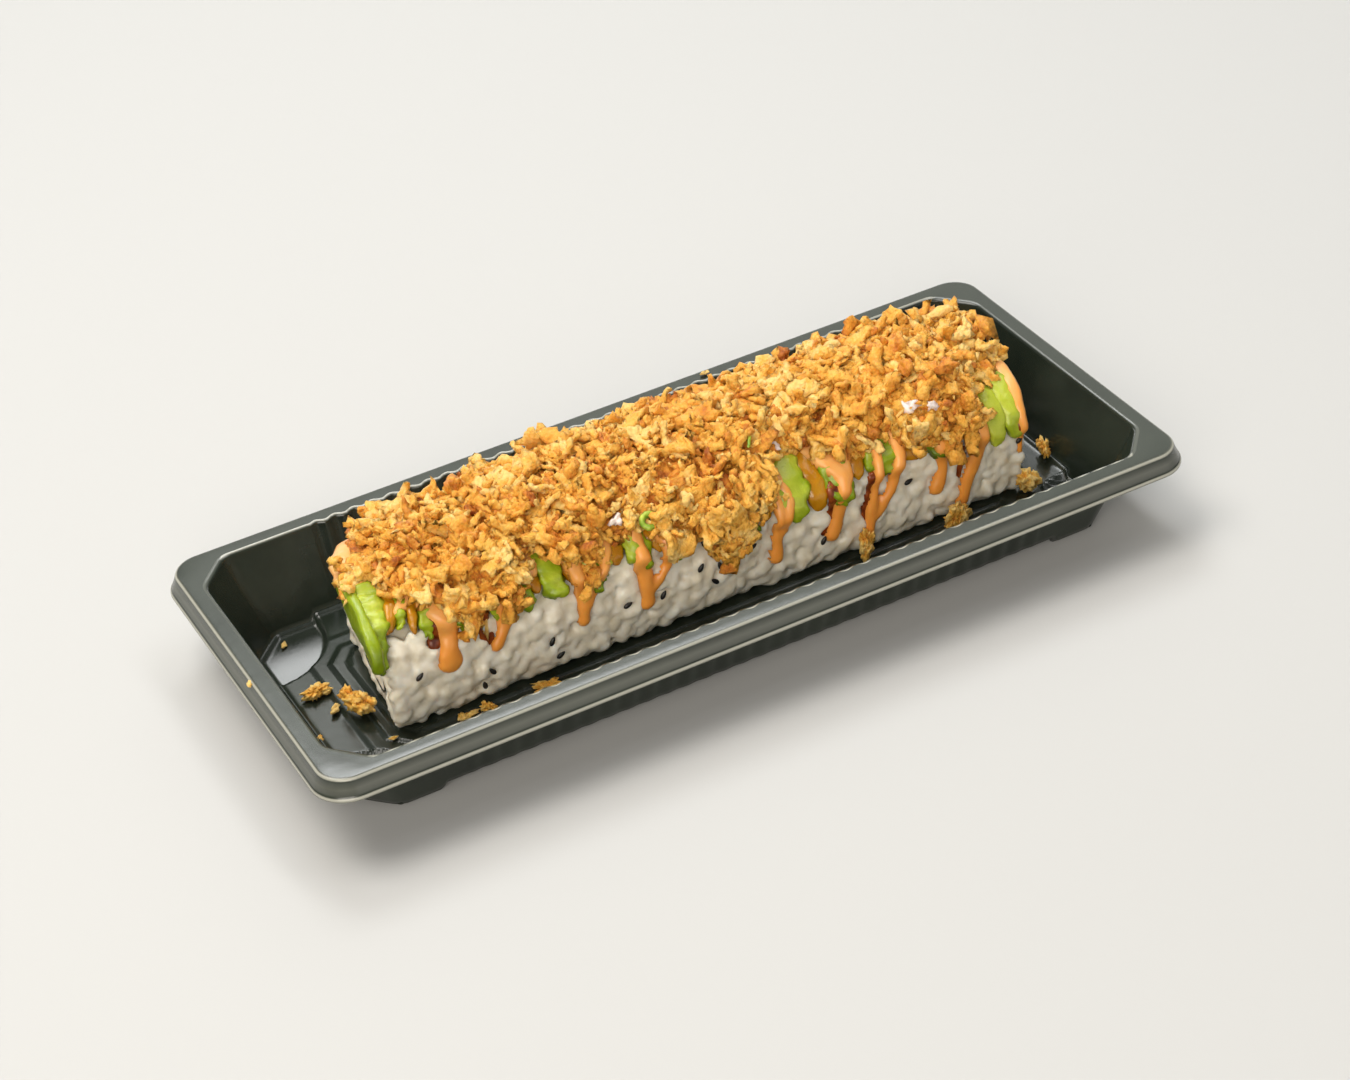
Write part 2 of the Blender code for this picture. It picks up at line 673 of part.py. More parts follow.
def heap_outline(share, angle):
    # The core's top: an uneven dome, lower towards both ends
    end = abs(2 * share - 1)
    x = HEAP_LEFT + (HEAP_RIGHT - HEAP_LEFT) * share
    drop = HEAP_END_DROP * end ** 3
    taper = 1 - HEAP_END_TAPER * end ** 8
    rough = noise.noise(Vector((x / (11 * MM), angle * 1.7, 3.1))) * 1.3 * MM
    y = ROLL_Y + math.cos(angle) * (HEAP_HALF_WIDTH + rough) * taper
    z = HEAP_EDGE + math.sin(angle) ** 0.8 * (HEAP_TOP - HEAP_EDGE - drop + rough)
    return Vector((x, y, z))


def heap_underside(x, y):
    # The lowest height at which the heap clears the slices
    reach = min(abs(y - ROLL_Y) / (ROLL_HALF_WIDTH + HEAP_COVER), 0.999)
    rise = (1 - reach ** TOP_SQUARENESS) ** (1 / TOP_SQUARENESS)
    return ROLL_MIDDLE + (ROLL_RISE + HEAP_COVER) * rise


def make_heap_core(collection, material):
    bm = bmesh.new()
    rings = []
    across = 9
    for i in range(HEAP_STATIONS):
        share = i / (HEAP_STATIONS - 1)
        top = [heap_outline(share, math.pi * k / (across - 1)) for k in range(across)]
        ring = []
        for point in top:
            floor = heap_underside(point.x, point.y)
            ring.append(Vector((point.x, point.y, max(point.z, floor + 1.2 * MM))))
        under = [Vector((p.x, p.y, heap_underside(p.x, p.y))) for p in reversed(top)]
        rings.append(ring + under)
    loft(bm, rings)
    return finish_mesh("crispy_onion_heap", bm, collection, material)


def clears_slices(bm):
    for vert in bm.verts:
        if vert.co.z < heap_underside(vert.co.x, vert.co.y) + 0.05 * MM:
            return False
    return True


def make_heap(collection, material):
    rng = random.Random(23)
    heap = make_heap_core(collection, material)
    pieces = make_collection("heap_flakes")
    made = 0
    tries = 0
    while made < HEAP_FLAKES and tries < HEAP_FLAKES * 8:
        tries += 1
        share = (made + rng.uniform(0.1, 0.9)) / HEAP_FLAKES
        angle = math.pi * rng.choice((0.12, 0.26, 0.4, 0.54, 0.68, 0.8, 0.9)) + rng.uniform(-0.16, 0.16)
        angle = min(max(angle, 0.12), math.pi - 0.12)
        point = heap_outline(min(max(share, 0.02), 0.98), angle)
        outward = Vector((rng.uniform(-0.3, 0.3), math.cos(angle), math.sin(angle)))
        along = Vector((1, rng.uniform(-1, 1), rng.uniform(-0.3, 0.3)))
        place = facing(point + outward * rng.uniform(0.2, 1.2) * MM, outward, along, rng.uniform(0, math.pi))
        tilt = Matrix.Rotation(rng.uniform(-0.6, 0.6), 4, "Y")
        size = (rng.uniform(5, 10.5) * MM, rng.uniform(2.4, 4.4) * MM, rng.uniform(1.1, 1.8) * MM)
        bm = flake(size, rng, place @ tilt)
        if clears_slices(bm):
            finish_mesh("flake", bm, pieces)
            made += 1
        else:
            bm.free()
    combine(heap, pieces, "UNION")
    keep_outer_body(heap)
    return heap


def make_loose_flakes(collection, material):
    rng = random.Random(5)
    for number, (x, y, z, length, width, height, turn) in enumerate(LOOSE_FLAKES, start=1):
        bm = bmesh.new()
        place = Matrix.Translation((x * MM, y * MM, (z + height / 2) * MM))
        spin = Matrix.Rotation(math.radians(turn), 4, "Z")
        size = Matrix.Diagonal((length / 2 * MM, width / 2 * MM, height / 2 * MM, 1))
        bmesh.ops.create_icosphere(bm, subdivisions=1, radius=1.0, matrix=place @ spin @ size)
        base = z * MM
        for vert in bm.verts:
            if vert.co.z > base + 0.35 * height * MM:
                vert.co += Vector([rng.uniform(-0.35, 0.35) * MM for _ in range(3)])
            else:
                vert.co.z = base
        bmesh.ops.dissolve_degenerate(bm, edges=bm.edges, dist=0.05 * MM)
        finish_mesh(f"onion_flake_{number}", bm, collection, material)


def main():
    clear_scene()
    collection = make_collection("sushi_tray")
    cutters = make_collection("cutters")
    plastic = make_material("black_polystyrene", (0.012, 0.014, 0.012), 0.22)
    rice = make_material("cooked_rice", (0.62, 0.58, 0.5), 0.45)
    nori = make_material("nori", (0.01, 0.014, 0.01), 0.5)
    onion = make_material("fried_onion", (0.62, 0.3, 0.07), 0.55)
    flesh = {
        "avocado": make_material("avocado", (0.42, 0.55, 0.06), 0.4),
        "mango": make_material("mango", (0.72, 0.33, 0.02), 0.35),
    }
    make_tray(collection, cutters, plastic)
    make_rice_roll(collection, cutters, rice)
    make_channel("nori_sheet", NORI_THICKNESS, ROLL_LEFT - NORI_PROUD, ROLL_RIGHT + NORI_PROUD, 0,
                 collection, nori)
    make_slices(collection, flesh, random.Random(11))
    make_end_slice(collection, flesh["avocado"])
    make_heap(collection, onion)
    for obj in collection.objects:
        if obj.name != "tray":
            skew_left_end(obj)
    make_loose_flakes(collection, onion)


main()
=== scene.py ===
import math
import random

import bmesh
import bpy
import numpy as np
from mathutils import Matrix, Vector, noise


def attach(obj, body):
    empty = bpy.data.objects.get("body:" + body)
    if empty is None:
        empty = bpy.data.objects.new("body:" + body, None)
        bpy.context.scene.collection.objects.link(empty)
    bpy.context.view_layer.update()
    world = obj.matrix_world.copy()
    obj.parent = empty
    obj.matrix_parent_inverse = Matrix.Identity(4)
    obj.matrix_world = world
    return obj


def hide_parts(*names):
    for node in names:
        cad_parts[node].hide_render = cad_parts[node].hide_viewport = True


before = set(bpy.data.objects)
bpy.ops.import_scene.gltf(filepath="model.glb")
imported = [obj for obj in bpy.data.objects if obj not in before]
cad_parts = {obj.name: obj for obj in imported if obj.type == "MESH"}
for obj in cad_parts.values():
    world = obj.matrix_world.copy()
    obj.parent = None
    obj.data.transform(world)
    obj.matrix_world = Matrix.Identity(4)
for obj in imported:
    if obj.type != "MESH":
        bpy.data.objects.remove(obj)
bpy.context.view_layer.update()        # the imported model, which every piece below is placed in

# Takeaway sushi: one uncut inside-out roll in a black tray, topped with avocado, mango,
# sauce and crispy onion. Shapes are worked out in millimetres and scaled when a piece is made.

mm = 0.001
print("frame loaded,", len(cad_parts), "nodes")


# Helpers

def hexColour(code):
    # sRGB hex to linear, as the shaders want it
    parts = [int(code[i:i + 2], 16) / 255 for i in (1, 3, 5)]
    linear = [part / 12.92 if part <= 0.04045 else ((part + 0.055) / 1.055) ** 2.4 for part in parts]
    return (*linear, 1.0)


def addNode(tree, kind, settings=None, links=None):
    # A setting is an input by name or number, a colour ramp's stops, or a property of the node
    node = tree.nodes.new(kind)
    for key, value in (settings or {}).items():
        if key == "stops":
            ramp = node.color_ramp.elements
            while len(ramp) < len(value):
                ramp.new(0.5)
            for stop, (place, colour) in zip(ramp, value):
                stop.position = place
                stop.color = hexColour(colour)
        elif isinstance(key, int) or key in node.inputs:
            node.inputs[key].default_value = value
        else:
            setattr(node, key, value)
    for key, socket in (links or {}).items():
        tree.links.new(socket, node.inputs[key])
    return node


def newMaterial(name, roughness, ior=1.5, scatter=(0.0, (1.0, 1.0, 1.0)), coat=(0.0, 0.03)):
    # Scatter is a weight and a radius in millimetres; coat is a weight and its roughness
    material = bpy.data.materials.new(name)
    material.use_nodes = True
    shader = material.node_tree.nodes["Principled BSDF"]
    for key, value in (("Roughness", roughness), ("IOR", ior), ("Subsurface Weight", scatter[0]),
                       ("Subsurface Radius", scatter[1]), ("Subsurface Scale", mm),
                       ("Coat Weight", coat[0]), ("Coat Roughness", coat[1])):
        shader.inputs[key].default_value = value
    return material, material.node_tree, shader


def addNoise(tree, size, detail=2.0, roughness=0.5):
    # Noise in the object's own space, its size in millimetres
    place = addNode(tree, "ShaderNodeTexCoord")
    settings = {"Scale": 1 / (size * mm), "Detail": detail, "Roughness": roughness}
    return addNode(tree, "ShaderNodeTexNoise", settings, {"Vector": place.outputs["Object"]}).outputs["Fac"]


def addTone(tree, name="tone"):
    return addNode(tree, "ShaderNodeAttribute", {"attribute_name": name}).outputs["Fac"]


def addSum(tree, value, factor, added):
    node = addNode(tree, "ShaderNodeMath", {"operation": "MULTIPLY_ADD", 1: factor}, {0: value, 2: added})
    return node.outputs["Value"]


def setColour(tree, shader, stops, value):
    ramp = addNode(tree, "ShaderNodeValToRGB", {"stops": stops}, {"Fac": value})
    tree.links.new(ramp.outputs["Color"], shader.inputs["Base Color"])


def setBump(tree, shader, strength, depth, height):
    settings = {"Strength": strength, "Distance": depth * mm}
    bump = addNode(tree, "ShaderNodeBump", settings, {"Height": height})
    tree.links.new(bump.outputs["Normal"], shader.inputs["Normal"])
    return bump


def toMesh(name, bm):
    mesh = bpy.data.meshes.new(name)
    bm.to_mesh(mesh)
    bm.free()
    return mesh


def placeObject(name, data):
    item = bpy.data.objects.new(name, data)
    bpy.context.scene.collection.objects.link(item)
    return item


def makePiece(name, bm, material, replaced=(), sharpFrom=None):
    bmesh.ops.scale(bm, verts=bm.verts, vec=(mm, mm, mm))
    mesh = toMesh(name, bm)
    mesh.materials.append(material)
    mesh.shade_smooth()
    if sharpFrom:
        mesh.set_sharp_from_angle(angle=math.radians(sharpFrom))
    piece = placeObject(name, mesh)
    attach(piece, "root")
    if replaced:
        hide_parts(*replaced)
    print("made", name, len(mesh.polygons), "faces")
    return piece


def thicken(piece, thickness):
    # Gives a surface its sheet thickness, inward
    sheet = piece.modifiers.new("Sheet", "SOLIDIFY")
    sheet.thickness = thickness * mm
    sheet.offset = -1


def faceUp(bm):
    bm.normal_update()
    if sum(face.normal.z for face in bm.faces) < 0:
        bmesh.ops.reverse_faces(bm, faces=bm.faces)


def relax(bm, factor):
    axes = {"use_axis_x": True, "use_axis_y": True, "use_axis_z": True}
    bmesh.ops.smooth_vert(bm, verts=bm.verts, factor=factor, **axes)


def lyingSphere(segments, rings):
    # A sphere of diameter 1 with its poles along X
    bm = bmesh.new()
    bmesh.ops.create_uvsphere(bm, u_segments=segments, v_segments=rings, radius=0.5)
    bmesh.ops.rotate(bm, verts=bm.verts, cent=(0, 0, 0), matrix=Matrix.Rotation(math.pi / 2, 3, "Y"))
    return bm


def turned(angle, axis="Z"):
    return Matrix.Rotation(angle, 4, axis)


def roughen(bm, amount, size, seed, octaves=2):
    # Pushes every vertex along its normal by a noise of the given wavelength
    offset = Vector((seed * 7.3, seed * 3.1, seed * 5.7))
    bm.normal_update()
    moves = []
    for vert in bm.verts:
        push = 0
        for octave in range(octaves):
            push += noise.noise(vert.co * (2 ** octave / size) + offset) / 2 ** octave
        moves.append(vert.normal * push * amount)
    for vert, move in zip(bm.verts, moves):
        vert.co += move


def toTemplate(name, bm, tones=None):
    # A shape to copy: an attribute holds its own tones, to which each copy's tone is added
    layer = bm.verts.layers.float.new("tone")
    for vert, tone in zip(bm.verts, tones or []):
        vert[layer] = tone
    return toMesh(name, bm)


def joinCopies(templates, placed):
    # Placed is a list of template number, matrix in millimetres and tone
    joined = bmesh.new()
    joined.verts.layers.float.new("tone")
    own = []
    for template in templates:
        tones = np.zeros(len(template.vertices))
        template.attributes["tone"].data.foreach_get("value", tones)
        own.append(tones)
    for kind, matrix, tone in placed:
        shape = templates[kind].copy()
        shape.transform(matrix)
        shape.attributes["tone"].data.foreach_set("value", own[kind] + tone)
        joined.from_mesh(shape)
        bpy.data.meshes.remove(shape)
    return joined


# Roll form, shared by the rice, slices, sauce and onion

rollForm = {
    "left": -75.5, "right": 76.5,       # cut ends
    "centreY": 1.8, "halfWidth": 18.8,
    "middle": 16.5, "rise": 12.6, "drop": 14.2,
    "topSquareness": 2.6, "bottomSquareness": 4.2,
    "floor": 3.7,                       # where the rice stands on the tray
    "endSkew": 5.0, "skewReach": 60.0,  # the left end is cut at a slant
}


def sectionTable(steps=720):
    # Points and outward normals along the section, from under the front over the top to the back
    angle = np.linspace(1.5 * math.pi, -0.5 * math.pi, steps + 1)
    across, up = np.cos(angle), np.sin(angle)
    power = 2 / np.where(up >= 0, rollForm["topSquareness"], rollForm["bottomSquareness"])
    height = np.where(up >= 0, rollForm["rise"], rollForm["drop"])
    y = rollForm["centreY"] + np.sign(across) * np.abs(across) ** power * rollForm["halfWidth"]
    z = np.maximum(rollForm["middle"] + np.sign(up) * np.abs(up) ** power * height, rollForm["floor"])
    arc = np.concatenate([[0], np.cumsum(np.hypot(np.diff(y), np.diff(z)))])
    arc -= arc[steps // 2]
    even = np.linspace(arc[0], arc[-1], steps + 1)
    y, z = np.interp(even, arc, y), np.interp(even, arc, z)
    slopeY, slopeZ = np.gradient(y), np.gradient(z)
    length = np.maximum(np.hypot(slopeY, slopeZ), 1e-9)
    return {"arc": even, "y": y, "z": z, "ny": -slopeZ / length, "nz": slopeY / length}


section = sectionTable()


def onRoll(x, arc, height):
    # World place of points given by X, arc from the top's middle (front is negative) and height
    x, arc, height = np.broadcast_arrays(*(np.asarray(value, float) for value in (x, arc, height)))
    parts = {key: np.interp(arc, section["arc"], section[key]) for key in ("y", "z", "ny", "nz")}
    y = parts["y"] + parts["ny"] * height
    z = parts["z"] + parts["nz"] * height
    reach = rollForm["skewReach"]
    share = np.clip((rollForm["left"] + reach - x) / reach, 0, None)
    front = rollForm["centreY"] - rollForm["halfWidth"]
    x = x + rollForm["endSkew"] * share * (y - front) / (2 * rollForm["halfWidth"])
    return np.stack([x, y, z], axis=-1)


def frontArc(z):
    half = section["arc"] <= 0
    return np.interp(z, section["z"][half], section["arc"][half])


def frameOnRoll(x, arc, height):
    # A matrix on the roll: X along it, Z outward
    point = Vector(onRoll(x, arc, height))
    normal = [np.interp(arc, section["arc"], section[key]) for key in ("ny", "nz")]
    outward = Vector((0, *normal)).normalized()
    side = outward.cross(Vector((1, 0, 0))).normalized()
    along = side.cross(outward)
    return Matrix.Translation(point) @ Matrix((along, side, outward)).transposed().to_4x4()


def alongX(pairs, x):
    places, values = zip(*pairs)
    return np.interp(x, places, values)


# Camera, floor and lights

cameraSettings = {
    "place": (-231.2, -497.5, 400.4),   # mm
    "azimuth": 24.8, "elevation": 35.29, "roll": -6.08,
    "lens": 82.9, "sensor": 36.0,
}


def makeCamera():
    azimuth = math.radians(cameraSettings["azimuth"])
    elevation = math.radians(cameraSettings["elevation"])
    level = math.cos(elevation)
    forward = Vector((math.sin(azimuth) * level, math.cos(azimuth) * level, -math.sin(elevation)))
    side = forward.cross(Vector((0, 0, 1))).normalized()
    upright = side.cross(forward)
    turn = math.radians(cameraSettings["roll"])
    right = side * math.cos(turn) + upright * math.sin(turn)
    upward = right.cross(forward)
    data = bpy.data.cameras.new("camera")
    data.lens = cameraSettings["lens"]
    data.sensor_width = cameraSettings["sensor"]
    data.clip_start = 0.01
    camera = placeObject("camera", data)
    basis = Matrix((right, upward, -forward)).transposed().to_4x4()
    camera.matrix_world = Matrix.Translation(Vector(cameraSettings["place"]) * mm) @ basis
    bpy.context.scene.camera = camera


lightSettings = {
    # name: (place in metres, aimed at, size in metres, watts, colour)
    "keyAbove": ((-0.35, 0.2, 0.95), (0, 0, 0.02), (0.6, 0.6), 8.4, "#FFFAF2"),
    # seen in the tray's level faces
    "backSheet": ((0.68, 1.05, 0.86), (0, 0, 0.02), (1.36, 0.75), 3.6, "#F4F6E8"),
    # seen in the foot floors and the back lip, above the sheet before
    "windowSheet": ((0.23, 0.89, 1.19), (0, 0, 0.02), (0.6, 0.4), 8.5, "#F8FAFA"),
    # a low strip that draws the line along the front lip
    "lowStrip": ((0.42, 1.2, 0.22), (0, 0, 0.02), (1.8, 0.12), 2.6, "#FFFFFF"),
    # a high strip that draws the line along the back lip
    "highStrip": ((0.42, 0.05, 1.0), (0, 0, 0.02), (0.9, 0.2), 2.6, "#FFFFFF"),
    # seen in the tilted skirt
    "frontSheet": ((0.5, -1.0, 0.12), (0, 0, 0.0), (1.5, 0.4), 1.8, "#FFFAF4"),
    "frontFill": ((-0.6, -0.8, 0.6), (0, 0, 0.02), (0.8, 0.5), 8.5, "#FFF8EC"),
}
stageSettings = {"floor": "#BDBDBC", "world": "#C6C6C6", "worldStrength": 0.3}


def makeStage():
    bm = bmesh.new()
    bmesh.ops.create_grid(bm, x_segments=1, y_segments=1, size=3.0)
    bmesh.ops.translate(bm, verts=bm.verts, vec=(0, 0, -0.0002))
    mesh = toMesh("stageFloor", bm)
    material, tree, shader = newMaterial("matt painted board", 0.9)
    shader.inputs["Base Color"].default_value = hexColour(stageSettings["floor"])
    mesh.materials.append(material)
    placeObject("stageFloor", mesh)
    for name, (place, target, size, power, colour) in lightSettings.items():
        data = bpy.data.lights.new(name, "AREA")
        data.shape = "RECTANGLE"
        data.size, data.size_y = size
        data.energy = power
        data.color = hexColour(colour)[:3]
        light = placeObject(name, data)
        light.location = place
        aim = Vector(target) - Vector(place)
        light.rotation_euler = aim.to_track_quat("-Z", "Y").to_euler()
    world = bpy.data.worlds.new("studio")
    world.use_nodes = True
    background = world.node_tree.nodes["Background"]
    background.inputs["Color"].default_value = hexColour(stageSettings["world"])
    background.inputs["Strength"].default_value = stageSettings["worldStrength"]
    bpy.context.scene.world = world
    bpy.context.scene.view_settings.view_transform = "Standard"


makeCamera()
makeStage()
print("camera and lights set")


# Tray

traySettings = {
    "rim": 21.0, "sheet": 0.5,
    "opening": (96.2, 40.0), "openingCut": (7.2, 8.2),
    "floorHalf": (89.7, 33.5), "floorCut": (6.6, 7.0),
    "cornerRound": 2.0, "lipRound": 0.9, "fillet": 1.3,
    "flange": (100.9, 44.7), "flangeRound": 6.6, "bend": 0.9,
    "skirtDrop": 3.7, "skirtFlare": 1.0, "lipOut": 0.5,
    "flutePitch": 4.5, "flutes": 31, "fluteDepth": 0.45, "fluteFade": 0.4, "frontFlute": 0.55,
    "wallShares": (0, 0.04, 0.1, 0.2, 0.4, 0.6, 0.8, 0.93, 1.0),
    "footCentre": (89.5, 31.0), "footRadius": 15.8,
    "footFloor": 0.72, "footTilt": 0.15, "floor": 2.5, "stepRise": 0.3, "stepCrease": 0.5,
    # painted highlights stand in for the reflections along the formed edges: on the lip, where the flange
    # bends, and on the skirt
    "lipPaintedHighlight": (0.0, 0.0, 0.2, 1.0, 1.0, 0.0, 0.0),
    "skirtPaintedHighlight": (0.0, 0.2, 1.0, 0.9, 0.0, 0.05, 0.2, 0.12, 0.0, 1.0, 0.9, 0.5),
    "steps": (((82.4, 24.3), (4.0, 4.0)), ((78.5, 20.1), (4.6, 5.0)), ((75.5, 17.8), (4.1, 5.0))),
}


def insideCutBox(x, y, half, cut):
    # Signed distance to a rectangle with cut corners, positive inside
    x, y = np.abs(x), np.abs(y)
    slant = (cut[1] * (x - half[0] + cut[0]) + cut[0] * (y - half[1])) / math.hypot(*cut)
    return np.minimum(np.minimum(half[0] - x, half[1] - y), -slant)


def smoothStep(value, width):
    t = np.clip(value / width + 0.5, 0, 1)
    return t * t * (3 - 2 * t)


def footShare(x, y):
    centre = traySettings["footCentre"]
    away = np.hypot(np.abs(x) - centre[0], np.abs(y) - centre[1])
    return smoothStep(traySettings["footRadius"] - away, 1.0)


def floorHeight(x, y):
    z = np.full(np.shape(x), traySettings["floor"], float)
    for half, cut in traySettings["steps"]:
        z = z + traySettings["stepRise"] * smoothStep(insideCutBox(x, y, half, cut) - 0.5, 1.4)
    return z + (traySettings["footFloor"] - z) * footShare(x, y)


def trayRing(half, corner, flute=0):
    # Points of one level, round from the front right corner; corner is a radius or a cut's two sides
    points = []
    isRound = not isinstance(corner, tuple)
    for turn, (sx, sy) in enumerate(((1, -1), (1, 1), (-1, 1), (-1, -1))):
        arc = []
        if isRound:
            for k in range(12):
                angle = math.radians(k * 90 / 11)
                arc.append((half[0] - corner + corner * math.sin(angle),
                            half[1] - corner + corner * math.cos(angle)))
        else:
            bends = [(half[0] - corner[0], half[1]), (half[0], half[1] - corner[1])]
            far = [(0, half[1]), (half[0], 0)]
            for here, before, after in ((bends[0], far[0], bends[1]), (bends[1], bends[0], far[1])):
                here, before, after = Vector(here), Vector(before), Vector(after)
                reach = traySettings["cornerRound"]
                start = here + (before - here).normalized() * reach
                end = here + (after - here).normalized() * reach
                for k in range(6):
                    t = k / 5
                    arc.append(start * (1 - t) ** 2 + here * 2 * t * (1 - t) + end * t * t)
        if turn % 2:
            arc.reverse()
        points += [(sx * x, sy * y) for x, y in arc]
        inset = corner if isRound else corner[turn % 2 == 0] + traySettings["cornerRound"]
        points += traySide(turn, half, inset, flute)
    return points


def traySide(turn, half, inset, flute):
    # The stretch to the next corner; the long sides carry the flutes
    sign = 1 if turn < 2 else -1
    if turn % 2 == 0:
        places = np.linspace(inset - half[1], half[1] - inset, 50)[1:-1]
        return [(sign * half[0], sign * float(y)) for y in places]
    span = traySettings["flutePitch"] * traySettings["flutes"] / 2
    outer = np.linspace(half[0] - inset, span, 17)[1:-1]
    middle = np.linspace(span, -span, traySettings["flutes"] * 8 + 1)
    places = np.concatenate([outer, middle, -outer[::-1]])
    phase = 2 * math.pi * (places + span) / traySettings["flutePitch"]
    wave = np.where(np.abs(places) <= span, -np.cos(phase), 0)
    ease = np.clip((span - np.abs(places)) / 2.2, 0, 1)
    offset = flute * (wave * ease) * (1 if turn == 1 else traySettings["frontFlute"])
    return [(sign * float(x), sign * float(half[1] + push)) for x, push in zip(places, offset)]


def wallRings(top):
    # The wall's foot follows the floor's height, and each level lies between the floor and the lip
    s = traySettings
    base = np.array(trayRing(s["floorHalf"], s["floorCut"]))
    low = floorHeight(base[:, 0], base[:, 1]) - s["sheet"] * 0.5
    rings = []
    for share in s["wallShares"]:
        flute = s["fluteDepth"] * (s["fluteFade"] + (1 - s["fluteFade"]) * share)
        z = low + (top - low) * share
        ringLow = trayRing(s["floorHalf"], s["floorCut"], flute)
        ringTop = trayRing(s["opening"], s["openingCut"], flute)
        along = (z - s["footFloor"]) / (top - s["footFloor"])
        pull = max(0.0, 0.04 - share) * 22        # the wall turns in where it meets the floor
        ring = []
        for (x0, y0), (x1, y1), t, height in zip(ringLow, ringTop, along, z):
            x, y = x0 + (x1 - x0) * t, y0 + (y1 - y0) * t
            ring.append((x * (1 - pull / 90), y * (1 - pull / 34), height))
        rings.append(ring)
    return rings


def trayLevels():
    # From the foot of the wall over the lip, the flange and its bend to the skirt's edge
    s = traySettings
    top = s["rim"] - s["lipRound"]
    quarter = [math.radians(90 * k / 5) for k in range(6)]
    rings = wallRings(top)
    lip = [(1 - math.cos(turn), math.sin(turn)) for turn in quarter[1:]]
    lip = [(s["lipRound"] * out, top + s["lipRound"] * up, 1) for out, up in lip]
    for grow, z, share in lip + [(1.08, s["rim"], 0.9), (2.4, s["rim"], 0.2)]:
        half = (s["opening"][0] + grow, s["opening"][1] + grow)
        rings.append([(x, y, z) for x, y in trayRing(half, s["openingCut"], s["fluteDepth"] * share)])
    bend = [(math.sin(turn) - 1, 1 - math.cos(turn)) for turn in quarter]
    bend = [(s["bend"] * out, s["rim"] - s["bend"] * down) for out, down in bend]
    skirtEnd = s["rim"] - s["skirtDrop"]
    edge = s["skirtFlare"] + s["lipOut"]
    skirt = [(s["skirtFlare"] * 0.5, skirtEnd + 1.5), (s["skirtFlare"], skirtEnd + 0.5),
             (s["skirtFlare"] + 0.15, skirtEnd - 0.05), (edge - 0.1, skirtEnd - 0.22),
             (edge, skirtEnd - 0.5), (edge, skirtEnd - 0.85)]
    for grow, z in bend + skirt:
        half = (s["flange"][0] + grow, s["flange"][1] + grow)
        rings.append([(x, y, z) for x, y in trayRing(half, s["flangeRound"] + grow)])
    return rings


def makeTrayWalls(bm):
    # One loop of edges is extruded level by level, and each copy is moved to its ring
    spot = bm.verts.layers.int.new("spot")
    haze = bm.verts.layers.float.new("haze")
    rings = trayLevels()
    # each ring's share of painted highlight, from the lip over the flange's bend to the skirt
    pale = list(traySettings["lipPaintedHighlight"] + traySettings["skirtPaintedHighlight"])
    pale = [0.0] * (len(rings) - len(pale)) + pale
    skirtFrom = len(rings) - len(traySettings["skirtPaintedHighlight"])
    loop = [bm.verts.new(point) for point in rings[0]]
    for number, vert in enumerate(loop):
        vert[spot] = number
    edges = [bm.edges.new(pair) for pair in zip(loop, loop[1:] + loop[:1])]
    for level, ring in enumerate(rings[1:], start=1):
        grown = bmesh.ops.extrude_edge_only(bm, edges=edges)["geom"]
        for item in grown:
            if isinstance(item, bmesh.types.BMVert):
                item.co = ring[item[spot]]
                x, y = item.co.x, item.co.y
                # the painted highlight follows the flutes along the front, is faint at the short ends and
                # stronger along the back
                share = 1.0
                if level < skirtFrom:
                    wave = 0.5 - 0.5 * math.cos(2 * math.pi * (x + 69.75) / traySettings["flutePitch"])
                    share = 0.1 if abs(x) > 90 else (0.8 if y > 0 else wave)
                item[haze] = pale[level] * share
        edges = [item for item in grown if isinstance(item, bmesh.types.BMEdge)]
        edges = [edge for edge in edges if len(edge.link_faces) == 1]


def makeTrayFloor(bm):
    # A grid that is fine where the steps and feet are, cut to the floor's outline
    s = traySettings
    dish = bm.verts.layers.float.new("dish")
    xs = np.concatenate([np.linspace(-91, -72, 43), np.linspace(-69, 69, 56), np.linspace(72, 91, 43)])
    ys = np.concatenate([np.linspace(-35, -14, 43), np.linspace(-11, 11, 8), np.linspace(14, 35, 43)])
    bmesh.ops.create_grid(bm, x_segments=len(xs) - 1, y_segments=len(ys) - 1, size=1.0)
    for vert in bm.verts:
        column = round((vert.co.x + 1) / 2 * (len(xs) - 1))
        row = round((vert.co.y + 1) / 2 * (len(ys) - 1))
        x, y = float(xs[column]), float(ys[row])
        vert.co = (x, y, 0)
    over = s["sheet"] * 0.6
    half = [value + over for value in s["floorHalf"]]
    cut = s["floorCut"]
    slant = Vector((cut[1], cut[0], 0)).normalized()
    planes = []
    for sx in (-1, 1):
        planes.append(((sx * half[0], 0, 0), (sx, 0, 0)))
        planes.append(((0, sx * half[1], 0), (0, sx, 0)))
        for sy in (-1, 1):
            corner = (sx * (half[0] - cut[0]), sy * half[1], 0)
            planes.append((corner, (sx * slant.x, sy * slant.y, 0)))
    for point, normal in planes:
        geom = bm.verts[:] + bm.edges[:] + bm.faces[:]
        bmesh.ops.bisect_plane(bm, geom=geom, dist=1e-4, plane_co=point, plane_no=normal, clear_outer=True)
    x = np.array([vert.co.x for vert in bm.verts])
    y = np.array([vert.co.y for vert in bm.verts])
    z = floorHeight(x, y)
    edge = insideCutBox(x, y, s["floorHalf"], cut)
    fillet = s["fillet"]
    away = fillet - np.clip(edge, 0.15, fillet)
    rise = np.where(edge < fillet, fillet - np.sqrt(np.maximum(fillet ** 2 - away ** 2, 0)), 0)
    foot = footShare(x, y)
    lean = foot * (y - np.sign(y) * s["footCentre"][1]) * s["footTilt"] * mm
    for stepHalf, stepCut in s["steps"]:
        crease = smoothStep(insideCutBox(x, y, stepHalf, stepCut) - 0.5, 1.3)
        lean = lean + (1 - foot) * s["stepCrease"] * crease * mm
    for vert, height, slope in zip(bm.verts, z + rise, lean):
        vert.co.z = float(height)
        vert[dish] = float(slope)


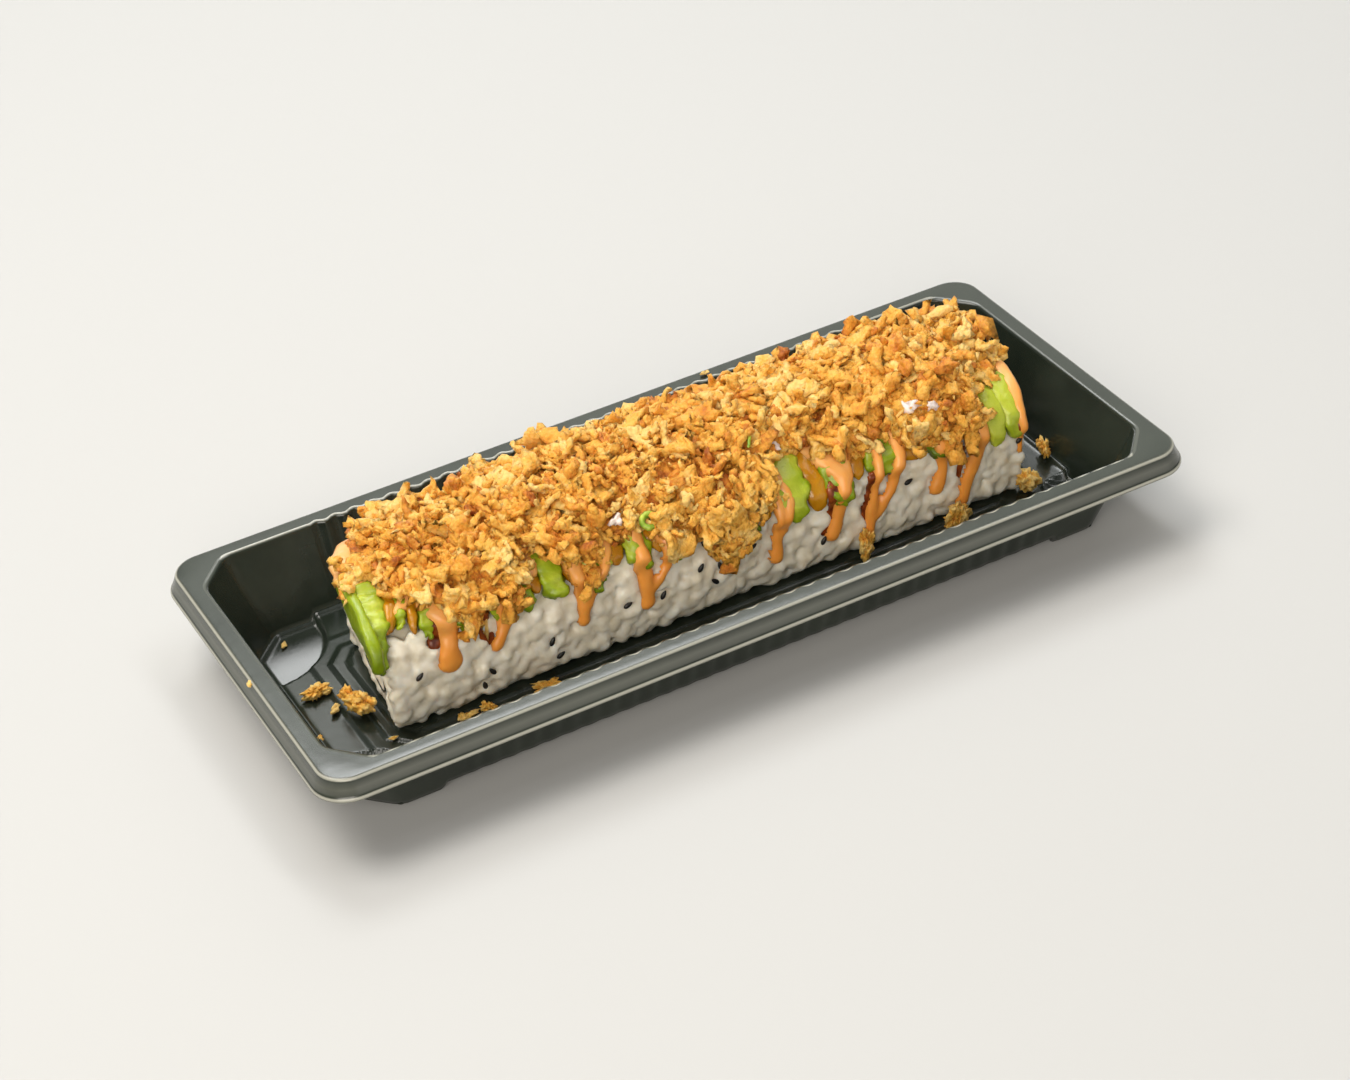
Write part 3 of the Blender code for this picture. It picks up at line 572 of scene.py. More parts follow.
def trayPlastic():
    # Vacuum-formed black polystyrene: glossy, a little wavy, so its highlights are soft and drawn out
    material, tree, shader = newMaterial("vacuum formed polystyrene", 0.24, 1.55)
    haze = addNoise(tree, 14, 4.0, 0.6)
    tint = addNode(tree, "ShaderNodeValToRGB", {"stops": [(0.3, "#1B221B"), (0.7, "#272E25")]}, {"Fac": haze})
    # the attribute mixes in a pale grey: painted highlights along the lip, the flange's bend and the skirt;
    # the noise mottles the tint and the gloss
    edge = addNode(tree, "ShaderNodeMix", {"data_type": "RGBA", 7: hexColour("#A5A498")},
                   {0: addTone(tree, "haze"), 6: tint.outputs["Color"]})
    tree.links.new(edge.outputs[2], shader.inputs["Base Color"])
    gloss = addNode(tree, "ShaderNodeMapRange", {"To Min": 0.18, "To Max": 0.3}, {"Value": haze})
    tree.links.new(gloss.outputs["Result"], shader.inputs["Roughness"])
    # the foot floors tilt a little and the steps are creased
    dish = addTone(tree, "dish")
    sag = addNode(tree, "ShaderNodeBump", {"Strength": 1.0, "Distance": 1.0}, {"Height": dish})
    ripple = setBump(tree, shader, 0.12, 0.25, addNoise(tree, 3.2))
    tree.links.new(sag.outputs["Normal"], ripple.inputs["Normal"])
    return material


def makeTray():
    # Floor and walls are each turned so that their most level face looks up
    bm = bmesh.new()
    makeTrayFloor(bm)
    floorFaces = set(bm.faces)
    makeTrayWalls(bm)
    bmesh.ops.recalc_face_normals(bm, faces=bm.faces)
    bm.normal_update()
    for part in (floorFaces, set(bm.faces) - floorFaces):
        level = max(part, key=lambda face: face.normal.z ** 2 * face.calc_area())
        if level.normal.z < 0:
            bmesh.ops.reverse_faces(bm, faces=list(part))
    tray = makePiece("trayShell", bm, trayPlastic(), ["tray"], sharpFrom=60)
    thicken(tray, traySettings["sheet"])


makeTray()


# Rice

riceSettings = {
    "grain": (4.4, 3.0, 2.8), "kinds": 10, "alongStep": 3.1, "arcStep": 2.1,
    "topHeight": 25.0, "sink": 0.35, "coreInset": 1.2, "fuse": 0.56, "seed": 3,
}


def steamedRice():
    # Short-grain rice, steamed and pressed: milky, a little translucent, with a moist skin
    material, tree, shader = newMaterial("steamed short grain rice", 0.3, 1.38, (1.0, (1.7, 1.55, 1.35)))
    stops = [(0.3, "#D8CEB8"), (0.5, "#E6DECC"), (0.7, "#F2ECDF")]
    setColour(tree, shader, stops, addNoise(tree, 3.4, 3.0))
    setBump(tree, shader, 0.15, 0.2, addNoise(tree, 0.9))
    return material


def grainTemplates():
    rng = random.Random(riceSettings["seed"])
    templates = []
    for kind in range(riceSettings["kinds"]):
        bm = lyingSphere(9, 8)
        bend = rng.uniform(-0.15, 0.15)
        for vert in bm.verts:
            blunt = math.copysign(abs(vert.co.x * 2) ** 0.72, vert.co.x) / 2
            x, y, z = blunt * riceSettings["grain"][0], vert.co.y * riceSettings["grain"][1], vert.co.z
            vert.co = (x, y + bend * (x / 3) ** 2, z * riceSettings["grain"][2])
        roughen(bm, 0.5, 2.4, kind)
        templates.append(toTemplate("grainShape", bm))
    return templates


def grainPlaces(rng):
    placed = []
    kinds = riceSettings["kinds"]
    low, high = frontArc(4.6), frontArc(riceSettings["topHeight"])
    columns = int((rollForm["right"] - rollForm["left"]) / riceSettings["alongStep"])
    rows = int((high - low) / riceSettings["arcStep"]) + 1
    for side in (1, -1):
        for row in range(rows):
            for column in range(columns + 1):
                x = rollForm["left"] + (column + 0.5 * (row % 2)) * riceSettings["alongStep"]
                x += rng.uniform(-1.2, 1.2)
                x = min(max(x, rollForm["left"] + 1.0), rollForm["right"] - 1.0)
                arc = side * (low + row * riceSettings["arcStep"] + rng.uniform(-0.8, 0.8))
                rise = rng.uniform(-0.55, 0.4) + (0.35 if row < 2 else 0)
                matrix = frameOnRoll(x, arc, rise - riceSettings["sink"])
                matrix = matrix @ turned(rng.uniform(0, math.pi)) @ turned(rng.uniform(-0.3, 0.3), "Y")
                matrix = matrix @ Matrix.Scale(rng.uniform(0.82, 1.1), 4)
                placed.append((rng.randrange(kinds), matrix, rng.random()))
    for x, outward in ((rollForm["left"], -1), (rollForm["right"], 1)):
        for _ in range(190):
            y = rollForm["centreY"] + rng.uniform(-1, 1) * 16.6
            z = rng.uniform(5.2, 26.5)
            if z > 20 and abs(y - rollForm["centreY"]) > 13:
                continue
            share = rollForm["endSkew"] / (2 * rollForm["halfWidth"]) if outward < 0 else 0
            flat = x - outward * rng.uniform(0.5, 1.4) + share * (y + 17.0)
            matrix = Matrix.Translation((flat, y, z)) @ turned(math.pi / 2)
            matrix = matrix @ turned(rng.uniform(0, 3.14), "Y") @ Matrix.Scale(rng.uniform(0.8, 1.05), 4)
            placed.append((rng.randrange(kinds), matrix, rng.random()))
    return placed


def makeRice():
    # The core is a cylinder laid along the roll, each point moved out to the section
    rng = random.Random(riceSettings["seed"])
    core = bmesh.new()
    bmesh.ops.create_cone(core, cap_ends=True, segments=72, radius1=1, radius2=1, depth=2)
    lengthwise = [edge for edge in core.edges if abs(edge.verts[0].co.z - edge.verts[1].co.z) > 1]
    bmesh.ops.subdivide_edges(core, edges=lengthwise, cuts=70)
    span = section["arc"][-1]
    angle = np.array([math.atan2(vert.co.x, vert.co.y) for vert in core.verts])
    end = np.array([vert.co.z for vert in core.verts])
    middle = (rollForm["left"] + rollForm["right"]) / 2
    x = middle + end * (rollForm["right"] - rollForm["left"] - 2 * riceSettings["coreInset"]) / 2
    places = onRoll(x, angle / math.pi * span, -riceSettings["coreInset"])
    places[:, 2] = np.maximum(places[:, 2], rollForm["floor"] + 0.4)
    for vert, place in zip(core.verts, places):
        vert.co = place
    bmesh.ops.recalc_face_normals(core, faces=core.faces)
    roughen(core, 0.5, 3.0, 1)
    coreMesh = toTemplate("riceCore", core)
    corePlace = (riceSettings["kinds"], Matrix.Identity(4), 0.3)
    joined = joinCopies(grainTemplates() + [coreMesh], [corePlace] + grainPlaces(rng))
    for vert in joined.verts:
        vert.co.z = max(vert.co.z, rollForm["floor"] - 0.2)
    piece = makePiece("riceGrains", joined, steamedRice(), ["rice_roll"])
    # the grains stick together: they are fused into one skin
    fuse = piece.modifiers.new("Fuse", "REMESH")
    fuse.mode = "VOXEL"
    fuse.voxel_size = riceSettings["fuse"] * mm
    fuse.use_smooth_shade = True
    soften = piece.modifiers.new("Soften", "SMOOTH")
    soften.factor = 0.5
    soften.iterations = 2


makeRice()


# Sesame seeds

seedSettings = {
    "size": (2.25, 1.25, 0.95),
    # X and height on the front, as they lie in the photo
    "spots": (
        (-69.6, 17.3), (-55.9, 9), (-53.9, 11.8), (-39.9, 13.3), (-38.3, 9.1), (-31.5, 20.6), (-22, 15),
        (-13.7, 14.1), (-8.8, 22), (-4.4, 17.2), (-2.8, 22), (-1.4, 12.5), (0.1, 15.9), (8.1, 17.5),
        (25.3, 12), (47, 18.5), (61.1, 19.4), (75.5, 18.3),
    ),
    "backCount": 18, "seed": 5,
}


def sesameHull():
    # Black sesame: a matt seed coat with a faint oily sheen
    material, tree, shader = newMaterial("black sesame seed coat", 0.42, 1.47)
    setColour(tree, shader, [(0.0, "#0E0D0C"), (1.0, "#2A2622")], addTone(tree))
    return material


def makeSeeds():
    rng = random.Random(seedSettings["seed"])
    bm = lyingSphere(10, 8)
    length, width, thick = seedSettings["size"]
    for vert in bm.verts:
        pinch = 1 - 0.42 * (vert.co.x + 0.5) ** 2      # pointed at one end
        vert.co = (vert.co.x * length, vert.co.y * width * pinch, vert.co.z * thick * pinch)
    template = toTemplate("seedShape", bm)
    spots = [(x, float(frontArc(z))) for x, z in seedSettings["spots"]]
    for _ in range(seedSettings["backCount"]):
        spots.append((rng.uniform(-72, 74), -float(frontArc(rng.uniform(7, 20)))))
    placed = []
    for x, arc in spots:
        placed.append((0, frameOnRoll(x, arc, 1.2) @ turned(rng.uniform(0.3, 2.4)), rng.random()))
    makePiece("sesameSeeds", joinCopies([template], placed), sesameHull())


makeSeeds()


# Nori, the CAD node with its real finish

def driedNori():
    # Dried seaweed gone soft: very dark green, faintly mottled, satin
    material, tree, shader = newMaterial("moist nori", 0.45, 1.45)
    setColour(tree, shader, [(0.35, "#0C120C"), (0.7, "#1E2A1A")], addNoise(tree, 1.6, 4.0))
    return material


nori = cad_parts["nori_sheet"]
nori.data.materials.clear()
nori.data.materials.append(driedNori())


# Slices of avocado and mango

sliceSettings = {
    "start": -76.4, "overlap": 0.35, "bed": 0.3, "thickness": 2.9,
    "slices": (
        ("mango", 2.6), ("avocado", 2.8), ("mango", 2.6), ("avocado", 3.8), ("mango", 4),
        ("avocado", 5.6), ("mango", 2.6), ("avocado", 3), ("mango", 2.8), ("avocado", 4.6),
        ("mango", 2.2), ("avocado", 5.2), ("mango", 4.2), ("avocado", 5.8), ("mango", 4.2),
        ("avocado", 5.8), ("mango", 4), ("avocado", 4.4), ("mango", 3.8), ("avocado", 4.2), ("mango", 3),
        ("avocado", 5.2), ("mango", 4.4), ("avocado", 8.2), ("mango", 4.8), ("avocado", 6),
        ("mango", 4.4), ("avocado", 7.8), ("mango", 6.4), ("avocado", 5.4), ("mango", 4.8),
        ("avocado", 5.2), ("avocado", 4.4), ("avocado", 4.8),
    ),
    # how low the slices hang at the front, along X
    "hang": (
        (-76, 26), (-70, 25.4), (-66, 23.8), (-60, 23.2), (-46, 22.6), (-36, 22.2), (-20, 21.8),
        (-10, 21.2), (4, 20.2), (14, 19.6), (22, 18.6), (28, 19.8), (44, 21), (53, 20.8), (64, 20.6),
        (72, 19.2), (76, 19.4),
    ),
    "mangoShort": 2.0,          # mango ends higher than the avocado beside it
    "backHang": 22.0, "seed": 11,
    "squareness": 0.55, "wander": 0.9,
    "ragged": {"avocado": 1.5, "mango": 0.8},
    "bumps": {"avocado": 1.25, "mango": 0.35}, "rightBumps": 0.5,
}


def fleshMaterial(name, stops, roughness, wavelength, scatter):
    material, tree, shader = newMaterial(name, roughness, 1.42, (0.45, scatter), (0.15, 0.25))
    setColour(tree, shader, stops, addSum(tree, addNoise(tree, wavelength, 3.0), 0.35, addTone(tree)))
    setBump(tree, shader, 0.5, 0.35, addNoise(tree, 1.1, 3.0))
    return material


def fleshMaterials():
    # Ripe avocado is buttery and green at its rim; mango is wet, clear orange flesh
    greens = [(0.1, "#38460A"), (0.34, "#6A7E0C"), (0.58, "#8DA015"), (0.85, "#B4BE3A")]
    ambers = [(0.1, "#7A4603"), (0.4, "#A56C06"), (0.8, "#C48A14")]
    return {"avocado": fleshMaterial("ripe avocado flesh", greens, 0.34, 4.0, (1.0, 1.4, 0.3)),
            "mango": fleshMaterial("ripe mango flesh", ambers, 0.22, 5.0, (2.0, 1.0, 0.2))}


def leftLean(x, arc):
    # The first slices fan out: their tops lie further right than their ends
    return 0.38 * np.clip(arc + 20, 0, 9) * np.clip((-44 - x) / 30, 0, 1)


def sliceForm(kind, x0, x1, arcFront, arcBack, seed, leanFirst=True):
    # A rounded bar: a sphere's points spread along the arc, with blunt ends and flat sides
    rng = random.Random(seed)
    bm = bmesh.new()
    bmesh.ops.create_uvsphere(bm, u_segments=24, v_segments=64, radius=1)
    co = np.array([tuple(vert.co) for vert in bm.verts])
    polar = np.arccos(np.clip(co[:, 2], -1, 1)) / math.pi          # 0 to 1 along the slice
    turn = np.arctan2(co[:, 1], co[:, 0])
    blunt = (1 - np.abs(np.cos(polar * math.pi)) ** 9) ** 0.5
    square = sliceSettings["squareness"]
    across = np.sign(np.cos(turn)) * np.abs(np.cos(turn)) ** square * blunt
    up = np.sign(np.sin(turn)) * np.abs(np.sin(turn)) ** square * blunt
    arc = arcFront + (arcBack - arcFront) * (1 - np.cos(polar * math.pi)) / 2
    # the end is ragged, and the two sides wander with their neighbours' sides
    ragged = np.array([noise.noise(Vector((a * 1.3 + seed * 5.1, 0.3, 0.1))) for a in across])
    ends = np.clip((np.abs(polar - 0.5) - 0.3) / 0.2, 0, 1)
    arc = arc + ragged * ends * np.where(polar < 0.5, 1, -1) * sliceSettings["ragged"][kind]
    sides = []
    for edge, leans in ((x0, leanFirst), (x1, True)):
        wander = np.array([noise.noise(Vector((a / 6, edge * 1.7, 2.2))) for a in arc])
        sides.append(edge + wander * sliceSettings["wander"] + (leftLean(edge, arc) if leans else 0))
    share = 0.5 + across * (0.5 + sliceSettings["overlap"] / (x1 - x0))
    x = sides[0] + (sides[1] - sides[0]) * share
    thick = sliceSettings["thickness"] * (0.68 + 0.32 * np.sin(math.pi * polar) ** 0.5)
    thick = thick + (0.35 if kind == "avocado" or x0 < -70 else -0.4) + rng.uniform(-0.25, 0.25)
    crown = 0.35 * (1 - across ** 2) * (up > 0)
    height = sliceSettings["bed"] + thick * (0.5 + 0.5 * up) + crown
    places = onRoll(x, arc, height)
    tone = bm.verts.layers.float.new("tone")
    base = rng.uniform(0.28, 0.5) + (0.2 if x0 > 66 else 0)
    # the tone is lighter on the outer face and darker towards the rice, painted light; it is also darker at
    # the slice's ends and blotched at random
    for number, vert in enumerate(bm.verts):
        vert.co = places[number]
        blotch = noise.noise(Vector((float(x[number]) / 3.2, float(arc[number]) / 4.5, 5.0)))
        vert[tone] = base + 0.12 * float(up[number]) + 0.4 * blotch - 0.22 * float(ends[number])
    bmesh.ops.recalc_face_normals(bm, faces=bm.faces)
    smoother = kind == "avocado" and x0 >= 62
    bumps = sliceSettings["rightBumps"] if smoother else sliceSettings["bumps"][kind]
    roughen(bm, bumps, 2.2, seed, octaves=3)
    return bm


def makeSlices(materials):
    rng = random.Random(sliceSettings["seed"])
    x = sliceSettings["start"]
    for number, (kind, width) in enumerate(sliceSettings["slices"], start=1):
        front = alongX(sliceSettings["hang"], x + width / 2) + rng.uniform(-0.8, 0.5)
        front += sliceSettings["mangoShort"] if kind == "mango" and x > -60 and not 18 < x < 26 else 0
        back = sliceSettings["backHang"] + rng.uniform(-1.2, 1.2)
        bm = sliceForm(kind, x, x + width, float(frontArc(front)), -float(frontArc(back)), number)
        makePiece(f"{kind}Slice{number:02d}", bm, materials[kind], [f"{kind}_slice_{number:02d}"])
        x += width


endSliceSettings = {
    # outline on the cut end, Y and Z; inner is the X of the side on the rice
    "outline": (
        (-20, 23), (-20.4, 26.6), (-17.8, 30), (-12.5, 32.2), (-5, 33.1), (3, 33.2), (6.4, 31.5),
        (5.2, 26.8), (-1.5, 25.4), (-8.5, 25.4), (-14, 24), (-18.4, 21.8),
    ),
    "inner": -76.7, "thickness": 2.8,
}


def makeEndSlice(material):
    # The outline is filled, extruded and bevelled, then laid against the slanted end
    bm = bmesh.new()
    settings = endSliceSettings
    ring = [bm.verts.new((settings["inner"], y, z)) for y, z in settings["outline"]]
    face = bm.faces.new(ring)
    grown = bmesh.ops.extrude_face_region(bm, geom=[face])["geom"]
    moved = [item for item in grown if isinstance(item, bmesh.types.BMVert)]
    bmesh.ops.translate(bm, verts=moved, vec=(-settings["thickness"], 0, 0))
    bmesh.ops.recalc_face_normals(bm, faces=bm.faces)
    rim = [edge for edge in bm.edges if abs(edge.verts[0].co.x - edge.verts[1].co.x) < 0.01]
    bmesh.ops.bevel(bm, geom=rim, offset=1.1, offset_type="OFFSET", affect="EDGES", segments=4,
                    profile=0.5, material=-1, clamp_overlap=True)
    bmesh.ops.triangulate(bm, faces=bm.faces)
    bmesh.ops.subdivide_edges(bm, edges=bm.edges, cuts=2, use_grid_fill=True)
    relax(bm, 0.5)
    tone = bm.verts.layers.float.new("tone")
    front = rollForm["centreY"] - rollForm["halfWidth"]
    for vert in bm.verts:
        vert[tone] = 0.3 + 0.025 * (vert.co.z - 27)
        vert.co.x += rollForm["endSkew"] * (vert.co.y - front) / (2 * rollForm["halfWidth"])
    roughen(bm, 0.5, 4.0, 41, octaves=2)
    makePiece("avocadoEndSlice", bm, material, ["avocado_end_slice"])
    # the slice beside it fills the wedge between the end and the leaning slices
    left, right = settings["inner"] - 1.2, sliceSettings["start"]
    wedge = sliceForm("avocado", left, right, -21.2, -2.0, 47, leanFirst=False)
    makePiece("avocadoWedge", wedge, material)


flesh = fleshMaterials()
makeSlices(flesh)
makeEndSlice(flesh["avocado"])


# Sauce

sauceSettings = {
    "step": 0.5, "thickness": 0.9, "width": 0.87, "low": -39.0, "left": -81.0, "right": 78.7,
    # each strand is points of X, arc from the top's middle, radius and height
    "strands": (
        ((-63, -8, 4.2, 1), (-62.4, -13, 3.6, 1), (-61.8, -17, 2.9, 1.1), (-61.6, -20.5, 2.5, 1.2),
         (-62.4, -25, 2.8, 1.6)),
        ((-63, -7, 3.6, 0.9), (-67.2, -9.4, 2.6, 0.8), (-71, -12.8, 0.8, 0.5)),
        ((-49.4, -12, 1.8, 1.1), (-49.8, -17, 1.6, 1.2), (-49.6, -21.5, 1.7, 1.2),
         (-51.8, -24.8, 1.9, 1.5)),
        ((-46.4, -12, 1.2, 1), (-46.8, -17, 1.1, 1.1), (-48.8, -20.6, 1.2, 1.1)),
        ((-33, -9, 2.2, 1), (-32.4, -14, 2, 1.1), (-31.8, -18, 1.9, 1.2), (-31.5, -22, 2, 1.3),
         (-31.9, -26.6, 2.2, 1.7)),
        ((-22.6, -11, 1.8, 1), (-24.2, -15.2, 1.6, 1.1), (-27.4, -19.8, 1.4, 1.1), (-30.6, -24, 1.5, 1.2)),
        ((-17.4, -10, 2.4, 1), (-16.9, -16, 2, 1.1), (-17.2, -23, 1.9, 1.3), (-17.2, -28.8, 2.2, 1.8)),
        ((-11, -12, 2.6, 1), (-11.2, -17.6, 1.7, 1.1), (-12.2, -22, 1.4, 1.1), (-16, -26.2, 1.5, 1.2)),
        ((-12, -7, 2.6, 0.9), (-9.6, -13, 2.6, 1), (-7.6, -17, 1.6, 0.9)),
        ((-1, -12, 2.2, 1), (0.6, -17.6, 2, 1.1), (2, -21, 1.6, 1.1), (3.4, -24.4, 1.3, 1.2)),
        ((9.6, -9, 2.2, 1), (13, -13.4, 1.9, 1.1), (15, -17.4, 1.6, 1.2), (14.6, -24, 1.6, 1.2),
         (13.6, -30.2, 2, 1.7)),
        ((15.4, -8.5, 1.9, 1), (17.2, -13.4, 1.6, 1.1), (17.8, -18.6, 1.3, 1.1), (15.8, -24.2, 1.4, 1.2)),
        ((25.6, -8, 2, 1), (28.4, -13, 2.1, 1.1), (31.2, -18.4, 2.1, 1.3), (30, -23.4, 1.9, 1.3),
         (27.7, -29.8, 2.2, 1.8)),
        ((34.6, -9, 1.7, 1), (34, -14, 1.6, 1), (32.4, -18.6, 1.6, 1.1)),
        ((43, -7, 1.8, 1), (41.4, -12.6, 1.6, 1.1), (39.6, -20, 1.6, 1.2), (37.8, -27, 1.7, 1.3),
         (36.8, -35.5, 1.6, 1.4)),
        ((43.6, -8, 2, 1), (45.6, -14.6, 1.9, 1.1), (45.2, -19, 1.7, 1.2), (42.6, -25, 1.5, 1.2),
         (38.4, -29.6, 1.4, 1.2)),
        ((56.4, -13, 2.6, 1), (56, -19, 2.1, 1.1), (55.6, -24, 1.8, 1.3), (53.9, -28.4, 2, 1.6)),
        ((66.4, -10, 3, 1), (66.2, -16, 2.4, 1.1), (65.2, -21.4, 2.1, 1.2), (62.8, -28.2, 1.9, 1.4),
         (60.6, -34.6, 1.9, 1.5)),
        ((77, -4, 2.2, 0.8), (77.2, -8.6, 1.8, 0.8), (77, -14.2, 1.4, 0.9), (76.4, -19.5, 1.2, 0.9),
         (75.6, -27, 1, 0.9)),
        ((-42, -8, 2.6, 0.9), (-41, -13.4, 2, 0.8)),
        ((21, -6, 2.4, 0.9), (20.4, -10.6, 1.8, 0.7)),
        ((50.4, -10, 2.6, 1), (52, -15, 1.8, 1)),
        ((-78, 1, 2.2, 0.8), (-76.5, 7, 3.2, 0.9), (-73, 13, 3.6, 0.9), (-69, 20, 3, 0.9)),
    ),
    "back": (-60, -48, -35, -21, -6, 10, 25, 38, 52, 66),     # strands down the back, along X
    # thin sweet soy that ran out under the mayonnaise
    "brown": (
        ((-65, -17, 1.2, 0.5), (-64.9, -20.6, 1.3, 0.6)),
        ((-54.8, -18, 1.4, 0.5), (-53.8, -23, 1.5, 0.6)),
        ((-27.4, -21.6, 1.2, 0.5), (-26.4, -23, 0.8, 0.5)),
        ((28.6, -20, 1.2, 0.5), (28, -25, 1.1, 0.5), (26, -29, 0.9, 0.5)),
        ((38, -20, 1, 0.5), (36.2, -28, 0.9, 0.5), (35.8, -32, 0.9, 0.5)),
        ((60.6, -22, 1, 0.5), (60, -28, 0.9, 0.5)),
        ((75.8, -21, 0.9, 0.5), (75.4, -26, 0.8, 0.5)),
    ),
}


def spicyMayo():
    # Chilli mayonnaise: an opaque emulsion, peach, smooth and wet; it turns orange lower on the roll, painted
    # shade on the front
    scatter = (0.25, (1.8, 0.9, 0.4))
    material, tree, shader = newMaterial("chilli mayonnaise", 0.38, 1.46, scatter, (0.12, 0.2))
    place = addNode(tree, "ShaderNodeTexCoord")
    height = addNode(tree, "ShaderNodeSeparateXYZ", links={"Vector": place.outputs["Object"]})
    # painted shade: the colour runs from orange at 20 mm high to peach at 36 mm
    share = addNode(tree, "ShaderNodeMapRange", {"From Min": 20 * mm, "From Max": 36 * mm},
                    {"Value": height.outputs["Z"]})
    mixed = addSum(tree, addNoise(tree, 4, 4.0), 0.7, share.outputs["Result"])
    scaled = addNode(tree, "ShaderNodeMath", {"operation": "MULTIPLY", 1: 0.72}, {0: mixed})
    stops = [(0.3, "#F2983E"), (0.6, "#F2A452"), (0.9, "#F3B670"), (1.0, "#F6C88E")]
    setColour(tree, shader, stops, scaled.outputs["Value"])
    return material


def sweetSoy():
    # Sweet soy glaze: a thin, dark, glossy film, redder where it is thin
    material, tree, shader = newMaterial("sweet soy glaze", 0.24, 1.45, (0.3, (1.5, 0.4, 0.1)))
    setColour(tree, shader, [(0.35, "#5A2208"), (0.65, "#94481A")], addNoise(tree, 2))
    return material


def strandHeights(x, arc, strands):
    # Height of the sauce at each point: round across each strand, diving under the surface outside
    height = np.full(np.shape(x), -9.0)
    for strand in strands:
        for (x0, a0, r0, h0), (x1, a1, r1, h1) in zip(strand, strand[1:]):
            dx, da = x1 - x0, a1 - a0
            t = np.clip(((x - x0) * dx + (arc - a0) * da) / (dx * dx + da * da), 0, 1)
            radius = (r0 + (r1 - r0) * t) * sauceSettings["width"]
            away = np.hypot(x - x0 - dx * t, arc - a0 - da * t) / radius
            inside = np.sqrt(np.clip(1 - away ** 2, 0, 1))
            top = (h0 + (h1 - h0) * t) * np.where(away < 1, inside, 3.4 * (1 - away))
            height = np.maximum(height, top)
    return height


def coverHeight(x, arc):
    # What the sauce lies on: rice below the slices' ends, the slices above them
    front = frontArc(alongX(sliceSettings["hang"], x))
    back = -frontArc(sliceSettings["backHang"])
    inside = np.minimum(arc - front, back - arc)
    full = sliceSettings["bed"] + sliceSettings["thickness"]
    return 0.7 + (full - 0.7) * smoothStep(inside - 0.6, 2.6)


def makeSauce(name, strands, material, high, thickness):
    # A grid over the roll's surface, raised along the strands and cut away between them
    low, left, right = sauceSettings["low"], sauceSettings["left"], sauceSettings["right"]
    columns, rows = (int(span / sauceSettings["step"]) for span in (right - left, high - low))
    bm = bmesh.new()
    bmesh.ops.create_grid(bm, x_segments=columns, y_segments=rows, size=0.5)
    co = np.array([tuple(vert.co) for vert in bm.verts])
    x = left + (co[:, 0] + 0.5) * (right - left)
    arc = low + (co[:, 1] + 0.5) * (high - low)
    wander = np.array([[noise.noise(Vector((a / 4, b / 5, z))) for z in (0.7, 9.2)] for a, b in zip(x, arc)])
    height = strandHeights(x + wander[:, 0] * 0.8, arc + wander[:, 1] * 0.6, strands)
    keep = height > -1.3
    places = onRoll(x, arc, coverHeight(x, arc) + np.clip(height, -1.4, None) * thickness)
    for vert, place in zip(bm.verts, places):
        vert.co = place
    bmesh.ops.delete(bm, geom=[vert for vert, kept in zip(bm.verts, keep) if not kept], context="VERTS")
    bmesh.ops.delete(bm, geom=[vert for vert in bm.verts if not vert.link_faces], context="VERTS")
    relax(bm, 0.5)
    faceUp(bm)
    roughen(bm, 0.22 * thickness, 2.6, 9)
    thicken(makePiece(name, bm, material), 0.4)


def backStrands():
    rng = random.Random(17)
    strands = []
    for x in sauceSettings["back"]:
        strand = []
        for arc in (12, 18, 24, rng.uniform(29, 36)):
            x += rng.uniform(-1.6, 1.6)
            strand.append((x, arc, rng.uniform(1.6, 2.4), rng.uniform(1.0, 1.5)))
        strands.append(strand)
    return strands


allStrands = list(sauceSettings["strands"]) + backStrands()
makeSauce("sauceStrands", allStrands, spicyMayo(), 39.0, sauceSettings["thickness"])
makeSauce("soyGlaze", sauceSettings["brown"], sweetSoy(), -8.0, 0.4)


# Crispy onion

